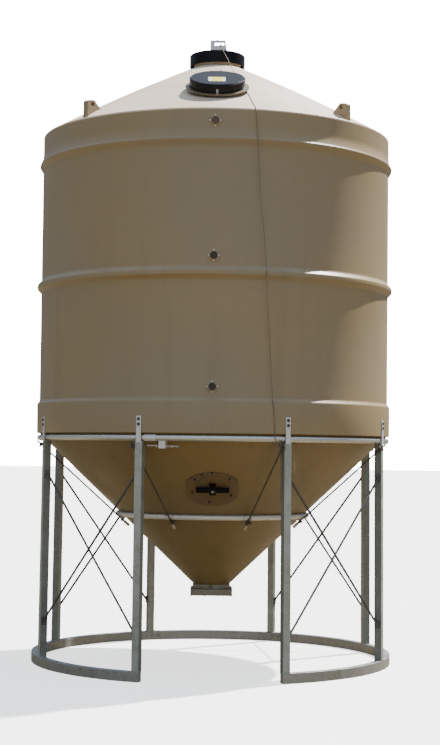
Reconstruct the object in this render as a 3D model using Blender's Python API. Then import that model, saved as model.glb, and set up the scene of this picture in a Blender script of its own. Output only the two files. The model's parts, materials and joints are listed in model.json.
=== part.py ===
# Poly fertiliser silo: a moulded plastic tank with a cone roof and a hopper, on a stand of eight legs.
# Units are metres, +Z is up, the ground is z = 0 and the silo's axis is x = y = 0.
# The front, with the open bay between two legs, faces -Y. Azimuths run from the front towards +X.

import math

import bmesh
import bpy
from mathutils import Matrix, Vector

# General
GAP = 0.0003                      # left between pieces that touch
SEAT = 0.0004                     # left under pieces that follow the roof or the cone
SEGMENTS = 64                     # flats round every large circle
FLAT = math.cos(math.pi / SEGMENTS)   # distance to a flat over the radius to a corner

# Tank wall, one moulding with two ribs and a thicker skirt
WALL = 0.012
SKIRT_WALL = 0.018
RIB_WALL = 0.0192
WALL_RADIUS = 1.484
SKIRT_RADIUS_TOP = 1.5045
SKIRT_RADIUS_BOTTOM = 1.503
SKIRT_BOTTOM_Z = 1.905
SKIRT_TOP_Z = 2.152
SKIRT_CHAMFER = 0.025
RIB_CENTRES = (3.135, 4.175)
RIB_RADII = (1.518, 1.511)
RIB_HEIGHTS = (0.118, 0.112)
EAVE_Z = 4.405

# Roof, a slightly domed cone: its height is ROOF_Z + ROOF_SLOPE * t - ROOF_DOME * t * t,
# where t is ROOF_R less the distance from the axis
ROOF_R = 1.40
ROOF_Z = 4.4625
ROOF_SLOPE = 0.5606
ROOF_DOME = 0.0422
ROOF_BENDS = (1.46, 1.30, 1.05, 0.80, 0.50, 0.2275)     # radii of the corners in its outline
ROOF_INNER_BENDS = (0.50, 0.80, 1.05, 1.30, 1.455)
ROOF_WALL = 0.0132                # measured straight up
NECK_RADIUS = 0.2025
NECK_WALL = 0.010
NECK_TOP_Z = 5.1715

# Fill lid on the neck
LID_RADIUS = 0.239
LID_WALL = 0.010
LID_BOTTOM_Z = 5.087
LID_TOP_Z = 5.190
LID_HINGE_Y = 0.272
LID_HINGE_Z = 5.100
LID_PIN_RADIUS = 0.006
LID_EAR_X = 0.026
LID_EAR_HALF = 0.007
LID_FOOT_HALF = 0.045

# Opener bracket on the fill lid
BRACKET_LEFT_X = -0.062
BRACKET_RIGHT_X = 0.088           # at its foot, and the right side leans in by BRACKET_LEAN
BRACKET_LEAN = 0.021
BRACKET_TOP_Z = 5.322
BRACKET_DEPTH = 0.070
BRACKET_THICKNESS = 0.005
BRACKET_WINDOW = ((-0.025, 5.277), (0.056, 5.304))
ROLLER = (0.028, 5.277)
ROLLER_RADIUS = 0.0105

# Roof hatch
HATCH_R = 1.04                    # distance of its centre from the silo's axis
HATCH_NECK_RADIUS = 0.205
HATCH_NECK_WALL = 0.012
HATCH_FLANGE_RADIUS = 0.255
HATCH_FLANGE_LOW = 0.014          # heights are along the hatch's own axis, from the roof
HATCH_FLANGE_HIGH = 0.026
HATCH_CAP_RADIUS = 0.2235
HATCH_CAP_WALL = 0.008
HATCH_CAP_LOW = 0.0275
HATCH_CAP_HIGH = 0.098
HATCH_HINGE_OUT = 0.245           # hinge line uphill of the hatch's centre
HATCH_HINGE_UP = 0.044
HATCH_EAR_X = 0.058
HATCH_EAR_HALF = 0.008
HATCH_KNUCKLE_X = 0.040
HATCH_KNUCKLE_HALF = 0.007
HATCH_PIN_RADIUS = 0.005
HATCH_SINK = 0.030                # its ring is made this deep and cut to the roof
HATCH_SIDES = 48
CLIP_HALF = 0.0075
CLIP_HIGH = 0.064

# Hopper cone
HOPPER_BOTTOM_RADIUS = 0.155
HOPPER_BOTTOM_Z = 0.645
HOPPER_SPREAD = 1.0528            # radius gained for each metre of height
HOPPER_LAP_TOP_Z = 1.960          # top of the lap inside the skirt

# Clean-out hatch on the hopper
CLEANOUT_R = 1.023
CLEANOUT_HALF_WIDTH = 0.198
CLEANOUT_HALF_HEIGHT = 0.197
CLEANOUT_SIDE = 0.090             # half the length of its straight sides
CLEANOUT_PROUD = 0.007
CLEANOUT_DOOR_RADIUS = 0.130
CLEANOUT_DOOR_UP = 0.032          # how far the door's centre lies up the slope from the frame's
CLEANOUT_RECESS = 0.003
HANDLE_LENGTH = 0.264
HANDLE_DEPTH = 0.040
HANDLE_THICKNESS = 0.024
HANDLE_STAND_OFF = 0.019
HUB_RADIUS = 0.031

# Outlet
COLLAR_RADIUS = 0.155
COLLAR_BORE = 0.139
GATE_HALF = 0.177
GATE_TOP_Z = 0.605
GATE_BOTTOM_Z = 0.552
GATE_SLOT_HALF = 0.160
GATE_SLOT_LOW = 0.5745
GATE_SLOT_HIGH = 0.5825
BLADE_THICKNESS = 0.006
BLADE_SIDE_CLEARANCE = 0.003
BLADE_REACH = 0.212
BLADE_TAB_HALF = 0.060

# Stand
LEG_COUNT = 8
FIRST_LEG_AZIMUTH = 22.5
LEG_SIZE = 0.060
RING_RADIUS = 1.477
RING_TUBE = 0.02415
RING_Z = 1.867
RING_SIDES = 12
RING_PHASE = 15.0                 # sets a corner of the tube against the cone, and a flat underneath
BASE_OUTER_RADIUS = 1.518
BASE_WIDTH = 0.060
BASE_HEIGHT = 0.080
BASE_OPENING = 21.35              # half angle of the opening at the front
STRAP_WIDTH = 0.040
STRAP_THICKNESS = 0.006
STRAP_TOP_Z = 2.035
STRAP_BOTTOM_Z = 1.828
HOPPER_RING_TUBE = 0.0212
HOPPER_RING_Z = 1.233
HOPPER_RING_SIDES = 10
HOPPER_RING_PHASE = 27.0
TIE_AZIMUTH_STEP = 1.7            # each tie rod lies this far round from its leg
TIE_RADIUS = 0.007
TIE_TOP = (1.500, 1.800)          # radius and height where the rod passes its leg
TIE_LOW = (0.806, 1.1945)         # and where it passes under the hopper ring
TIE_ENDS = (1.545, 0.742)         # distance of its two ends from the axis
TIE_PLATE_RADIUS = 1.505          # where its top plate stands
TIE_PLATE_REACH = 0.040
TIE_PLATE_HALF = 0.022
TIE_PLATE_THICKNESS = 0.008
NUT_RADIUS = 0.014
NUT_HEIGHT = 0.012
BRACE_RADIUS = 0.008
BRACE_TOP_Z = 1.565
BRACE_LOW_Z = 0.375
BRACE_OFFSET = 0.0087             # the two rods of a cross pass each other by this much each
BRACE_TAB = (0.040, 0.008, 0.060)
BRACED_BAYS = (-135.0, -45.0, 45.0, 135.0)

# Ring joint, a threaded rod through a lug under the top ring beside the front left leg
RING_LUG_AZIMUTH = -15.4
RING_LUG_WIDTH = 0.052
RING_LUG_BACK = 1.4165            # how near the silo's axis it reaches
RING_LUG_FRONT = 1.484
RING_LUG_LOW_Z = 1.785
RING_ROD_RADIUS = 0.006
RING_ROD_ENDS = ((-0.510, -1.336, 1.8076), (-0.2603, -1.4061, 1.801))

# Lifting lugs at the eave
LUG_AZIMUTHS = (-135.0, -45.0, 45.0, 135.0)
LUG_SHIFT = 0.033                 # each stands this far to the back of its flat's middle
LUG_THICKNESS = 0.055
LUG_OUTER = 1.458                 # distances from the silo's axis
LUG_SHOULDER = 1.3875
LUG_INNER = 1.316
LUG_SHOULDER_Z = 4.577
LUG_EDGE_Z = 4.556
LUG_EYE = (1.405, 4.541)
LUG_EYE_RADIUS = 0.018

# Sight ports down the front of the wall
PORT_X = -0.013
PORT_HEIGHTS = (2.262, 3.272, 4.318)
PORT_FLANGE_RADIUS = 0.052
PORT_FLANGE_THICKNESS = 0.008
PORT_PLUG_RADIUS = 0.026
PORT_PLUG_THICKNESS = 0.016

# Pull rope, from the opener bracket over the lid and roof, down the wall to the top ring
ROPE_RADIUS = 0.003
LEAD_ROUTE = (
    (0.031, -0.0505, 5.269),
    (0.034, -0.115, 5.243),
    (0.038, -0.180, 5.2165),
    (0.0415, -0.229, 5.1965),
    (0.0445, -0.243, 5.187),
    (0.0715, -0.350, 5.106),
    (0.1095, -0.500, 4.993),
    (0.160, -0.700, 4.842),
)
ROPE_ON_ROOF = ((0.1625, 0.720), (0.248, 1.122), (0.297, 1.428))     # x and distance in front of the axis
ROPE_ON_WALL = (
    (0.302, 4.412),
    (0.318, 4.194),
    (0.338, 3.767),
    (0.370, 3.480),
    (0.393, 3.177),
    (0.418, 2.703),
    (0.452, 2.173),
    (0.464, 2.066),
    (0.475, 1.886),
    (0.486, 1.815),
    (0.510, 1.772),
    (0.532, 1.757),
)                                  # x and height
ROPE_OVER_EAVE = ((-0.0021, 0.0205), (0.0058, 0.0076))    # radius past the wall and height over the eave
ROPE_WIDE = 0.060                  # spacing of its points between the ribs
ROPE_CLOSE = 0.017                 # and over them
ROPE_LIFT = ROPE_RADIUS + 0.0008


def clearScene():
    for thing in list(bpy.data.objects):
        bpy.data.objects.remove(thing, do_unlink=True)


def makeMaterial(name, colour, roughness, metallic=0.0):
    material = bpy.data.materials.new(name)
    material.use_nodes = True
    shader = material.node_tree.nodes["Principled BSDF"]
    shader.inputs["Base Color"].default_value = (*colour, 1.0)
    shader.inputs["Roughness"].default_value = roughness
    shader.inputs["Metallic"].default_value = metallic
    material.diffuse_color = (*colour, 1.0)
    return material


def finishMesh(bm, name):
    bmesh.ops.remove_doubles(bm, verts=bm.verts, dist=0.00001)
    bmesh.ops.recalc_face_normals(bm, faces=bm.faces)
    mesh = bpy.data.meshes.new(name)
    bm.to_mesh(mesh)
    bm.free()
    return mesh


def place(name, mesh, material, matrix=None):
    mesh.materials.clear()
    mesh.materials.append(material)
    mesh.shade_smooth()
    mesh.set_sharp_from_angle(angle=math.radians(35))
    thing = bpy.data.objects.new(name, mesh)
    bpy.context.scene.collection.objects.link(thing)
    if matrix is not None:
        thing.matrix_world = matrix
    return thing


def combine(meshes, operation="UNION"):
    """Joins closed meshes into one with exact booleans, or cuts the later ones from the first."""
    things = []
    for mesh in meshes:
        thing = bpy.data.objects.new("piece", mesh)
        bpy.context.scene.collection.objects.link(thing)
        things.append(thing)
    for other in things[1:]:
        boolean = things[0].modifiers.new("join", "BOOLEAN")
        boolean.operation = operation
        boolean.solver = "EXACT"
        boolean.object = other
    bpy.context.view_layer.update()
    evaluated = things[0].evaluated_get(bpy.context.evaluated_depsgraph_get())
    result = bpy.data.meshes.new_from_object(evaluated)
    for thing in things:
        bpy.data.objects.remove(thing, do_unlink=True)
    return result


def fullCircle():
    """Azimuths of the corners, set so that a flat faces the front and each leg."""
    step = 360.0 / SEGMENTS
    return [(index + 0.5) * step for index in range(SEGMENTS)]


def turned(profile, azimuths=None, name="turned"):
    """A closed outline of (radius, height) points, turned about Z. With azimuths, an open, capped arc."""
    closed = azimuths is None
    azimuths = fullCircle() if closed else azimuths
    bm = bmesh.new()
    rings = []
    for azimuth in azimuths:
        angle = math.radians(azimuth)
        rings.append([bm.verts.new((r * math.sin(angle), -r * math.cos(angle), z)) for r, z in profile])
    pairs = list(zip(rings, rings[1:] + rings[:1])) if closed else list(zip(rings, rings[1:]))
    for first, second in pairs:
        for index in range(len(profile)):
            following = (index + 1) % len(profile)
            onAxis = profile[index][0] < 1e-9 and profile[following][0] < 1e-9
            if not onAxis:
                bm.faces.new((first[index], first[following], second[following], second[index]))
    if not closed:
        bm.faces.new(rings[0])
        bm.faces.new(list(reversed(rings[-1])))
    bmesh.ops.remove_doubles(bm, verts=bm.verts, dist=0.00001)
    bmesh.ops.dissolve_degenerate(bm, edges=bm.edges, dist=0.00001)
    return finishMesh(bm, name)


def discProfile(radius, low, high):
    return [(0.0, low), (radius, low), (radius, high), (0.0, high)]


def smallTurned(profile, sides, matrix=None, name="small"):
    """A turned piece with its own number of sides, about Z and then placed by the matrix."""
    bm = bmesh.new()
    rings = []
    for index in range(sides):
        angle = 2 * math.pi * (index + 0.5) / sides
        rings.append([bm.verts.new((r * math.cos(angle), r * math.sin(angle), z)) for r, z in profile])
    for first, second in zip(rings, rings[1:] + rings[:1]):
        for index in range(len(profile)):
            following = (index + 1) % len(profile)
            if profile[index][0] > 1e-9 or profile[following][0] > 1e-9:
                bm.faces.new((first[index], first[following], second[following], second[index]))
    bmesh.ops.remove_doubles(bm, verts=bm.verts, dist=0.00001)
    bmesh.ops.dissolve_degenerate(bm, edges=bm.edges, dist=0.00001)
    if matrix is not None:
        bmesh.ops.transform(bm, matrix=matrix, verts=bm.verts)
    return finishMesh(bm, name)


def box(low, high, matrix=None, name="box"):
    bm = bmesh.new()
    bmesh.ops.create_cube(bm, size=1.0)
    low, high = Vector(low), Vector(high)
    size = high - low
    bmesh.ops.scale(bm, vec=size, verts=bm.verts)
    bmesh.ops.translate(bm, vec=(low + high) / 2, verts=bm.verts)
    if matrix is not None:
        bmesh.ops.transform(bm, matrix=matrix, verts=bm.verts)
    return finishMesh(bm, name)


def prism(outline, axis, low, high, name="prism"):
    """A flat outline of two coordinates, extruded along the named axis from low to high."""
    orders = {"X": lambda a, b, c: (c, a, b), "Y": lambda a, b, c: (a, c, b), "Z": lambda a, b, c: (a, b, c)}
    order = orders[axis]
    bm = bmesh.new()
    face = bm.faces.new([bm.verts.new(order(a, b, low)) for a, b in outline])
    extruded = bmesh.ops.extrude_face_region(bm, geom=[face])
    moved = [item for item in extruded["geom"] if isinstance(item, bmesh.types.BMVert)]
    bmesh.ops.translate(bm, vec=Vector(order(0.0, 0.0, high - low)), verts=moved)
    return finishMesh(bm, name)


def rod(start, end, radius, sides=8, name="rod"):
    start, end = Vector(start), Vector(end)
    along = end - start
    matrix = Matrix.Translation(start) @ along.to_track_quat("Z", "Y").to_matrix().to_4x4()
    return smallTurned(discProfile(radius, 0.0, along.length), sides, matrix, name)


def turnedBy(azimuth):
    return Matrix.Rotation(math.radians(azimuth), 4, "Z")


def roofHeight(radius):
    inward = ROOF_R - radius
    return ROOF_Z + ROOF_SLOPE * inward - ROOF_DOME * inward * inward


def roofFlat(reach):
    """Height of the moulded roof at this distance from the axis, in the middle of a flat."""
    return between([(radius, roofHeight(radius)) for radius in ROOF_BENDS], reach / FLAT, key=0, result=1)


def roofAngle(radius):
    return math.atan(ROOF_SLOPE - 2 * ROOF_DOME * (ROOF_R - radius))


def hopperRadius(height):
    return HOPPER_BOTTOM_RADIUS + HOPPER_SPREAD * (height - HOPPER_BOTTOM_Z)


def hopperHeight(radius):
    return HOPPER_BOTTOM_Z + (radius - HOPPER_BOTTOM_RADIUS) / HOPPER_SPREAD


def ribPoints(centre, radius, height):
    """A rounded bulge from the wall out to the given radius, from low to high."""
    steps = 6
    points = []
    for index in range(steps + 1):
        angle = math.pi * index / steps
        out = (radius - WALL_RADIUS) * math.sin(angle) ** 0.75 if 0 < index < steps else 0.0
        points.append((WALL_RADIUS + out, centre - 0.5 * height * math.cos(angle)))
    return points


def makeWall(material):
    outside = [(SKIRT_RADIUS_BOTTOM, SKIRT_BOTTOM_Z), (SKIRT_RADIUS_TOP, SKIRT_TOP_Z)]
    outside.append((WALL_RADIUS, SKIRT_TOP_Z + SKIRT_CHAMFER))
    for centre, radius, height in zip(RIB_CENTRES, RIB_RADII, RIB_HEIGHTS):
        outside.extend(ribPoints(centre, radius, height))
    outside.append((WALL_RADIUS, EAVE_Z))
    inside = [(WALL_RADIUS - WALL, EAVE_Z)]
    for centre, radius, height in reversed(list(zip(RIB_CENTRES, RIB_RADII, RIB_HEIGHTS))):
        half = 0.5 * height
        deep = radius - RIB_WALL
        inside.append((WALL_RADIUS - WALL, centre + half))
        inside.append((deep, centre + 0.3 * half))
        inside.append((deep, centre - 0.3 * half))
        inside.append((WALL_RADIUS - WALL, centre - half))
    inside.append((WALL_RADIUS - WALL, SKIRT_TOP_Z))
    inside.append((SKIRT_RADIUS_BOTTOM - SKIRT_WALL, SKIRT_TOP_Z - SKIRT_CHAMFER))
    inside.append((SKIRT_RADIUS_BOTTOM - SKIRT_WALL, SKIRT_BOTTOM_Z))
    place("tank_wall", turned(outside + inside), material)


def roofProfile():
    outside = [(WALL_RADIUS, EAVE_Z + GAP), (WALL_RADIUS, EAVE_Z + 0.006)]
    outside.append((WALL_RADIUS - 0.006, EAVE_Z + 0.016))
    outside.extend((radius, roofHeight(radius)) for radius in ROOF_BENDS)
    bore = NECK_RADIUS - NECK_WALL
    inside = [(bore, roofHeight(bore)), (bore, roofHeight(bore) - ROOF_WALL)]
    inside.extend((radius, roofHeight(radius) - ROOF_WALL) for radius in ROOF_INNER_BENDS)
    inside.append((WALL_RADIUS - WALL, EAVE_Z + GAP))
    return outside + inside


def hatchMatrix():
    """The hatch's own frame: its centre on the roof, +Z square to the roof, +Y uphill."""
    centre = Vector((0.0, -HATCH_R, roofHeight(HATCH_R)))
    return Matrix.Translation(centre) @ Matrix.Rotation(roofAngle(HATCH_R), 4, "X")


def makeRoof(material):
    cutter = smallTurned(discProfile(HATCH_NECK_RADIUS - HATCH_NECK_WALL, -0.15, 0.15), 24, hatchMatrix())
    place("tank_roof", combine([turned(roofProfile()), cutter], "DIFFERENCE"), material)
    bore = NECK_RADIUS - NECK_WALL
    foot = [(radius, roofHeight(radius) + SEAT) for radius in (bore, NECK_RADIUS)]
    place("fill_neck", turned(foot + [(NECK_RADIUS, NECK_TOP_Z), (bore, NECK_TOP_Z)]), material)


def makeHopper(material):
    thick = WALL / math.cos(math.atan(HOPPER_SPREAD))
    lapOuter = SKIRT_RADIUS_BOTTOM - SKIRT_WALL - GAP
    outside = [(HOPPER_BOTTOM_RADIUS, HOPPER_BOTTOM_Z), (lapOuter, hopperHeight(lapOuter))]
    outside.append((lapOuter, HOPPER_LAP_TOP_Z))
    inside = [(lapOuter - WALL, HOPPER_LAP_TOP_Z), (lapOuter - WALL, hopperHeight(lapOuter - WALL) + thick)]
    inside.append((COLLAR_BORE, hopperHeight(COLLAR_BORE) + thick))
    inside.append((COLLAR_BORE, HOPPER_BOTTOM_Z))
    place("hopper_cone", turned(outside + inside), material)


def cleanoutMatrix(up=0.0):
    """The clean-out's own frame, centred on the hopper's outside, +Z out of the cone, +Y up the slope."""
    slope = math.atan(1.0 / HOPPER_SPREAD)
    centre = Vector((0.0, -CLEANOUT_R * FLAT, hopperHeight(CLEANOUT_R)))
    tilted = Matrix.Translation(centre) @ Matrix.Rotation(math.pi - slope, 4, "X")
    return tilted @ Matrix.Translation((0.0, up, 0.0))


def cleanoutOutline():
    """Two bowed edges, above and below, between two straight sides."""
    rise = CLEANOUT_HALF_HEIGHT - CLEANOUT_SIDE
    radius = (CLEANOUT_HALF_WIDTH ** 2 + rise ** 2) / (2 * rise)
    spread = math.asin(CLEANOUT_HALF_WIDTH / radius)
    steps = 10
    upper = []
    for index in range(steps + 1):
        angle = spread * (1.0 - 2.0 * index / steps)
        upper.append((radius * math.sin(angle), CLEANOUT_HALF_HEIGHT - radius * (1.0 - math.cos(angle))))
    return upper + [(-across, -up) for across, up in upper]


def makeCleanout(frameMaterial, handleMaterial):
    matrix = cleanoutMatrix()
    doorMatrix = cleanoutMatrix(CLEANOUT_DOOR_UP)
    plate = prism(cleanoutOutline(), "Z", -0.045, CLEANOUT_PROUD)
    plate.transform(matrix)
    slope = math.atan(1.0 / HOPPER_SPREAD)
    offset = SEAT / math.sin(slope)
    low, high = HOPPER_BOTTOM_Z - 0.1, 2.2
    cone = turned([(0.0, low), (hopperRadius(low) + offset, low),
                   (hopperRadius(high) + offset, high), (0.0, high)])
    floor = CLEANOUT_PROUD - CLEANOUT_RECESS
    recess = smallTurned(discProfile(CLEANOUT_DOOR_RADIUS + GAP, floor, CLEANOUT_PROUD + 0.05), 24, doorMatrix)
    place("clean_out_frame", combine([plate, cone, recess], "DIFFERENCE"), frameMaterial)
    radius = CLEANOUT_DOOR_RADIUS - 0.004
    low = floor + GAP
    rim = CLEANOUT_PROUD + 0.002
    boss = rim + 0.008
    door = smallTurned([(0.0, low), (radius, low), (radius, rim), (radius - 0.006, rim + 0.002),
                        (0.034, rim + 0.002), (0.030, boss), (0.0, boss)], 24, doorMatrix)
    place("clean_out_door", door, frameMaterial)
    bar = HANDLE_STAND_OFF + rim + 0.002
    half = 0.5 * HANDLE_LENGTH
    wide, narrow = 0.5 * HANDLE_DEPTH, 0.4 * HANDLE_DEPTH
    outline = [(-half, -narrow), (-half + 0.006, -wide), (half - 0.006, -wide), (half, -narrow), (half, narrow),
               (half - 0.006, wide), (-half + 0.006, wide), (-half, narrow)]
    back = bar + HANDLE_THICKNESS
    hub = smallTurned([(0.0, boss + GAP), (0.024, boss + GAP), (HUB_RADIUS, bar + 0.002),
                       (HUB_RADIUS, back + 0.002), (HUB_RADIUS - 0.005, back + 0.007), (0.0, back + 0.007)], 16)
    mesh = combine([prism(outline, "Z", bar, back), hub])
    place("clean_out_handle", mesh, handleMaterial, doorMatrix)


def makeFillLid(material, steel):
    rim = 0.008
    top = LID_TOP_Z
    under = NECK_TOP_Z + GAP
    cap = turned([(LID_RADIUS, LID_BOTTOM_Z), (LID_RADIUS, top - rim), (LID_RADIUS - rim, top), (0.0, top),
                  (0.0, under), (LID_RADIUS - LID_WALL, under), (LID_RADIUS - LID_WALL, LID_BOTTOM_Z)])
    bore = LID_PIN_RADIUS + 0.0005
    outline = [(LID_RADIUS - 0.004, LID_HINGE_Z - 0.008), (LID_HINGE_Y - 0.005, LID_HINGE_Z - 0.013),
               (LID_HINGE_Y + 0.009, LID_HINGE_Z - 0.009), (LID_HINGE_Y + 0.012, LID_HINGE_Z),
               (LID_HINGE_Y + 0.009, LID_HINGE_Z + 0.009), (LID_HINGE_Y, LID_HINGE_Z + 0.013),
               (LID_RADIUS - 0.004, LID_HINGE_Z + 0.026)]
    ears = [prism(outline, "X", middle - LID_EAR_HALF, middle + LID_EAR_HALF)
            for middle in (-LID_EAR_X, LID_EAR_X)]
    solid = combine([cap] + ears)
    pinHole = rod((-0.06, LID_HINGE_Y, LID_HINGE_Z), (0.06, LID_HINGE_Y, LID_HINGE_Z), bore, 12)
    pivot = Matrix.Translation((0.0, LID_HINGE_Y, LID_HINGE_Z))
    mesh = combine([solid, pinHole], "DIFFERENCE")
    mesh.transform(pivot.inverted())
    place("fill_lid", mesh, material, pivot)

    near, far = LID_HINGE_Y - 0.012, LID_HINGE_Y + 0.030
    knuckle = prism([(near, roofFlat(near) + 0.003), (far, roofFlat(far) + 0.003),
                     (LID_HINGE_Y + 0.012, LID_HINGE_Z + 0.004), (LID_HINGE_Y + 0.005, LID_HINGE_Z + 0.011),
                     (LID_HINGE_Y - 0.005, LID_HINGE_Z + 0.011), (LID_HINGE_Y - 0.012, LID_HINGE_Z + 0.004)],
                    "X", -0.0135, 0.0135)
    pin = rod((-0.040, LID_HINGE_Y, LID_HINGE_Z), (0.040, LID_HINGE_Y, LID_HINGE_Z), LID_PIN_RADIUS, 12)
    low, high = LID_HINGE_Y - 0.020, LID_HINGE_Y + 0.040
    seat = [(low, roofFlat(low) + SEAT), (high, roofFlat(high) + SEAT)]
    footPlate = prism(seat + [(y, z + 0.006) for y, z in reversed(seat)], "X", -LID_FOOT_HALF, LID_FOOT_HALF)
    place("fill_lid_hinge", combine([footPlate, knuckle, pin]), steel)


def makeBracket(steel):
    """A folded steel bracket on the lid, with a window in its front and the roller that the rope leaves."""
    thick = BRACKET_THICKNESS
    low, top = LID_TOP_Z + GAP, BRACKET_TOP_Z
    left, right, lean = BRACKET_LEFT_X, BRACKET_RIGHT_X, BRACKET_LEAN
    front, back = -0.5 * BRACKET_DEPTH, 0.5 * BRACKET_DEPTH
    outline = [(left - 0.024, low), (left + thick, low), (left + thick, top - thick),
               (right - lean - thick, top - thick), (right - thick, low), (right + 0.022, low),
               (right + 0.022, low + thick), (right, low + thick), (right - lean, top), (left, top),
               (left, low + thick), (left - 0.024, low + thick)]
    fold = prism(outline, "Y", front, back)
    face = prism([(left + 0.001, low + 0.001), (right - 0.001, low + 0.001), (right - lean - 0.001, top - 0.001),
                  (left + 0.001, top - 0.001)], "Y", front + 0.0005, front + thick)
    bolt = rod((0.0, 0.0, top - 0.003), (0.0, 0.0, top + 0.014), 0.010, 6)
    x, z = ROLLER
    roller = rod((x, front - 0.010, z), (x, front + 0.003, z), ROLLER_RADIUS, 12)
    (x0, z0), (x1, z1) = BRACKET_WINDOW
    window = box((x0, front - 0.02, z0), (x1, front + 0.02, z1))
    body = combine([combine([fold, face]), window], "DIFFERENCE")
    mesh = combine([body, bolt, roller])
    pivot = Matrix.Translation((0.0, LID_HINGE_Y, LID_HINGE_Z))
    mesh.transform(pivot.inverted())
    place("lid_bracket", mesh, steel, pivot)


def makeRoofHatch(poly, black, steel):
    matrix = hatchMatrix()
    bore = HATCH_NECK_RADIUS - HATCH_NECK_WALL
    ringProfile = [(bore, -HATCH_SINK), (HATCH_NECK_RADIUS, -HATCH_SINK),
                   (HATCH_NECK_RADIUS, HATCH_FLANGE_LOW), (HATCH_FLANGE_RADIUS, HATCH_FLANGE_LOW),
                   (HATCH_FLANGE_RADIUS, HATCH_FLANGE_HIGH),
                   (HATCH_NECK_RADIUS, HATCH_FLANGE_HIGH), (HATCH_NECK_RADIUS, HATCH_CAP_HIGH - 0.022),
                   (bore, HATCH_CAP_HIGH - 0.022)]
    ring = smallTurned(ringProfile, HATCH_SIDES, matrix)
    surface = [(radius, roofHeight(radius) + SEAT) for radius in ROOF_BENDS[:-1]]
    under = EAVE_Z - 0.4
    roofSolid = turned([(0.0, under), (ROOF_BENDS[0], under)] + surface + [(0.0, surface[-1][1])])
    place("roof_hatch_ring", combine([ring, roofSolid], "DIFFERENCE"), poly)

    rim = 0.010
    high = HATCH_CAP_HIGH
    under = high - 0.020
    capProfile = [(HATCH_CAP_RADIUS, HATCH_CAP_LOW), (HATCH_CAP_RADIUS, high - rim),
                  (HATCH_CAP_RADIUS - rim, high), (0.0, high), (0.0, under),
                  (HATCH_CAP_RADIUS - HATCH_CAP_WALL, under),
                  (HATCH_CAP_RADIUS - HATCH_CAP_WALL, HATCH_CAP_LOW)]
    cap = smallTurned(capProfile, HATCH_SIDES)
    out, up = HATCH_HINGE_OUT, HATCH_HINGE_UP
    root = HATCH_CAP_RADIUS - 0.013
    earOutline = [(root, up - 0.010), (out - 0.004, up - 0.010), (out + 0.008, up - 0.006),
                  (out + 0.010, up), (out + 0.008, up + 0.008), (out, up + 0.011), (root, up + 0.020)]
    ears = [prism(earOutline, "X", middle - HATCH_EAR_HALF, middle + HATCH_EAR_HALF)
            for middle in (-HATCH_EAR_X, HATCH_EAR_X)]
    solid = combine([cap] + ears)
    pinHole = rod((-0.1, out, up), (0.1, out, up), HATCH_PIN_RADIUS + 0.0005, 12)
    mesh = combine([solid, pinHole], "DIFFERENCE")
    pivot = Matrix.Translation((0.0, out, up))
    mesh.transform(pivot.inverted())
    place("roof_hatch_lid", mesh, black, matrix @ pivot)

    flangeTop = HATCH_FLANGE_HIGH + GAP
    knuckles = []
    for middle in (-HATCH_KNUCKLE_X, HATCH_KNUCKLE_X):
        outline = [(out - 0.012, flangeTop), (HATCH_FLANGE_RADIUS + 0.004, flangeTop),
                   (out + 0.009, up + 0.006), (out, up + 0.010), (out - 0.009, up + 0.006)]
        knuckles.append(prism(outline, "X", middle - HATCH_KNUCKLE_HALF, middle + HATCH_KNUCKLE_HALF))
    pin = rod((-0.070, out, up), (0.070, out, up), HATCH_PIN_RADIUS, 12)
    base = box((-0.047, out - 0.012, flangeTop), (0.047, HATCH_FLANGE_RADIUS - 0.001, flangeTop + 0.004))
    place("roof_hatch_hinge", combine([base] + knuckles + [pin]), steel, matrix)

    face = -HATCH_CAP_RADIUS * math.cos(math.pi / HATCH_SIDES) - SEAT
    shelf = HATCH_FLANGE_HIGH + GAP
    clipOutline = [(face, 0.034), (face, CLIP_HIGH), (face - 0.005, CLIP_HIGH), (face - 0.006, 0.040),
                   (face - 0.017, shelf + 0.004), (face - 0.028, shelf + 0.004), (face - 0.028, shelf),
                   (face - 0.004, shelf)]
    clip = prism(clipOutline, "X", -CLIP_HALF, CLIP_HALF)
    clip.transform(pivot.inverted())
    place("roof_hatch_clip", clip, steel, matrix @ pivot)


def makeOutlet(poly, plate, steel):
    collar = turned([(COLLAR_BORE, GATE_TOP_Z + GAP), (COLLAR_RADIUS, GATE_TOP_Z + GAP),
                     (COLLAR_RADIUS, HOPPER_BOTTOM_Z - GAP), (COLLAR_BORE, HOPPER_BOTTOM_Z - GAP)])
    place("outlet_collar", collar, poly)
    half = GATE_HALF
    body = box((-half, -half, GATE_BOTTOM_Z), (half, half, GATE_TOP_Z))
    bore = turned(discProfile(COLLAR_BORE, GATE_BOTTOM_Z - 0.02, GATE_TOP_Z + 0.02))
    wide = GATE_SLOT_HALF
    slot = box((-wide, -wide, GATE_SLOT_LOW), (wide, half + 0.02, GATE_SLOT_HIGH))
    place("outlet_gate_frame", combine([body, bore, slot], "DIFFERENCE"), plate)
    side = GATE_SLOT_HALF - BLADE_SIDE_CLEARANCE
    low = GATE_SLOT_LOW + 0.0005
    blade = box((-side, -side, low), (side, half + 0.004, low + BLADE_THICKNESS))
    tab = box((-BLADE_TAB_HALF, half, low), (BLADE_TAB_HALF, BLADE_REACH, low + BLADE_THICKNESS))
    lip = box((-BLADE_TAB_HALF, BLADE_REACH - 0.006, low), (BLADE_TAB_HALF, BLADE_REACH, low + 0.024))
    place("outlet_gate_blade", combine([blade, tab, lip]), steel)


def legRadius(height):
    """The legs lean out a little, from the top ring to the middle of the base ring."""
    low = (BASE_OUTER_RADIUS - 0.5 * BASE_WIDTH) * FLAT
    high = RING_RADIUS * FLAT
    share = (height - BASE_HEIGHT) / (RING_Z - RING_TUBE - BASE_HEIGHT)
    return low + (high - low) * share


def ringUnderside():
    return RING_Z - RING_TUBE * math.cos(math.pi / RING_SIDES)


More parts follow.
